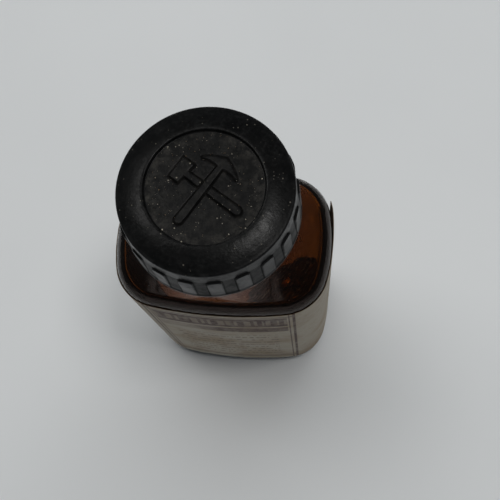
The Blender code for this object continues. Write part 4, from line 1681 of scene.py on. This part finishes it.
@dataclass
class Studio:
    """Table, lights, world and camera."""

    effects: SharedEffects
    table_size: float = 1.6
    lights: tuple[SoftLight, ...] = (
        SoftLight("window_light", (-0.02, 0.62, 1.00), (1.3, 1.0), 7.35, (0.985, 1.0, 1.0), False),
        SoftLight("ceiling_light", (0.34, 0.01, 1.10), (0.22, 0.22), 2.9, (1.0, 0.99, 0.97)),
        SoftLight("side_light", (-0.52, 0.25, 1.00), (0.4, 0.4), 1.7, (1.0, 0.99, 0.97)),
    )
    world_colour: Colour = (0.90, 0.96, 1.0)
    world_strength: float = 0.13
    front_glow: float = 3.5
    camera_place: Point = (19.87 * MM, -43.74 * MM, 197.72 * MM)
    camera_right: Point = (0.99355, 0.08411, -0.07608)
    camera_up: Point = (-0.05889, 0.95589, 0.28775)
    lens: float = 54.9

    def table(self) -> Object:
        """The table top, a thin closed slab under the bottle."""
        half = self.table_size / 2
        corners = np.array([[-half, -half], [half, -half], [half, half], [-half, half]])
        rings = np.stack([np.concatenate([corners, np.full((4, 1), z)], 1) for z in (-0.02, -0.00002)])
        slab = stack_rings("table_top", rings)
        slab.data.shade_flat()
        slab.data.materials.append(PaleTable().build(self.effects))
        return slab

    def world(self) -> None:
        """A dim soft room, darkest straight overhead, with a paler band low down in front."""
        world = bpy.data.worlds.new("soft_room")
        world.use_nodes = True
        desk = NodeDesk(world.node_tree)
        ray = desk.add("ShaderNodeSeparateXYZ", {0: desk.add("ShaderNodeTexCoord").outputs["Generated"]})
        height = desk.ramp(ray.outputs[2], 0.0, 0.9, 1.0, 0.5)
        background = world.node_tree.nodes["Background"]
        background.inputs["Color"].default_value = (*self.world_colour, 1.0)
        low = desk.ramp(ray.outputs[2], 0.24, 0.06)
        front = desk.times(low, desk.ramp(ray.outputs[1], -0.35, -0.8, 0.0, self.front_glow))
        strength = desk.times(desk.plus(height, front), self.world_strength)
        desk.feed(strength, background, "Strength")
        bpy.context.scene.world = world

    def camera(self) -> Object:
        """The camera, from its place and its two axes."""
        data = bpy.data.cameras.new("camera")
        data.lens = self.lens
        data.sensor_width = 36.0
        data.clip_start, data.clip_end = 0.005, 10.0
        camera = bpy.data.objects.new("camera", data)
        right = Vector(self.camera_right).normalized()
        back = right.cross(Vector(self.camera_up)).normalized()
        turn = Matrix((right, back.cross(right), back)).transposed()
        camera.matrix_world = Matrix.Translation(self.camera_place) @ turn.to_4x4()
        bpy.context.scene.collection.objects.link(camera)
        bpy.context.scene.camera = camera
        return camera

    def build(self) -> None:
        """Set the whole stage."""
        self.table()
        self.world()
        for light in self.lights:
            light.build(Vector((0.0, 0.0, 0.06)))
        self.camera()
        bpy.context.scene.view_settings.view_transform = "Standard"
        bpy.context.scene.cycles.transmission_bounces = 16
        bpy.context.scene.cycles.max_bounces = 16


# Assembly -----------------------------------------------------------------------------------


def place_piece(piece: Object, material: Material, body: Body,
                nodes: Sequence[str] = ()) -> None:
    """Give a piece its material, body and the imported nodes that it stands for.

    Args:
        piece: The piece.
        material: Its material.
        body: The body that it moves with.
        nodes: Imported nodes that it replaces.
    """
    piece.data.materials.append(material)
    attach(piece, body.value)
    if nodes:
        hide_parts(*nodes)
    LOG.info("%s: %d faces on %s", piece.name, len(piece.data.polygons), body.value)


def main() -> None:
    """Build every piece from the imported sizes, dress it, and set the stage."""
    logging.basicConfig(level=logging.INFO, format="%(name)s: %(message)s")
    effects = SharedEffects()
    glass_low, glass_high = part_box("bottle")
    cap_low, cap_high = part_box("cap_shell")
    label_low, label_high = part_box("label")
    outline = BowedOutline(glass_high.x - glass_low.x, glass_high.y - glass_low.y)

    bottle = GlassBottle(outline, glass_high.z).build()
    place_piece(bottle, AmberGlass().build(effects), Body.BOTTLE, ["bottle"])

    cap = ScrewCap(cap_low.z, cap_high.z, glass_high.z).build()
    place_piece(cap, BlackPhenolic().build(effects), Body.CAP, ["cap_shell"])
    crumbs = CapCrumbs(cap_high.z - 0.7 * MM).build()
    place_piece(crumbs, DustCrumb().build(effects), Body.CAP)

    backing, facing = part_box("liner_backing"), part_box("liner_facing")
    board, foil = CapLiner().build((backing[0].z, backing[1].z), (facing[0].z, facing[1].z))
    place_piece(board, Pulpboard().build(effects), Body.LINER, ["liner_backing"])
    place_piece(foil, CreasedFoil().build(effects), Body.LINER, ["liner_facing"])

    label, length, front = PaperLabel(outline, label_low.z, label_high.z).build()
    paper = AgedPaper().build(effects, length, label_high.z - label_low.z, front)
    place_piece(label, paper, Body.BOTTLE, ["label"])

    sample = GoldSample(outline)
    sand = BlackSand().build(effects)
    place_piece(sample.bed(), sand, Body.BOTTLE, ["sample_sand"])
    place_piece(sample.grains(), sand, Body.BOTTLE)
    gold = NativeGold().build(effects)
    for node in sorted(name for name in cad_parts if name.startswith("nugget_")):
        piece = sample.nugget(int(node.split("_")[1]), *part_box(node))
        place_piece(piece, gold, Body.BOTTLE, [node])

    Studio(effects).build()


if __name__ == "__main__":
    main()
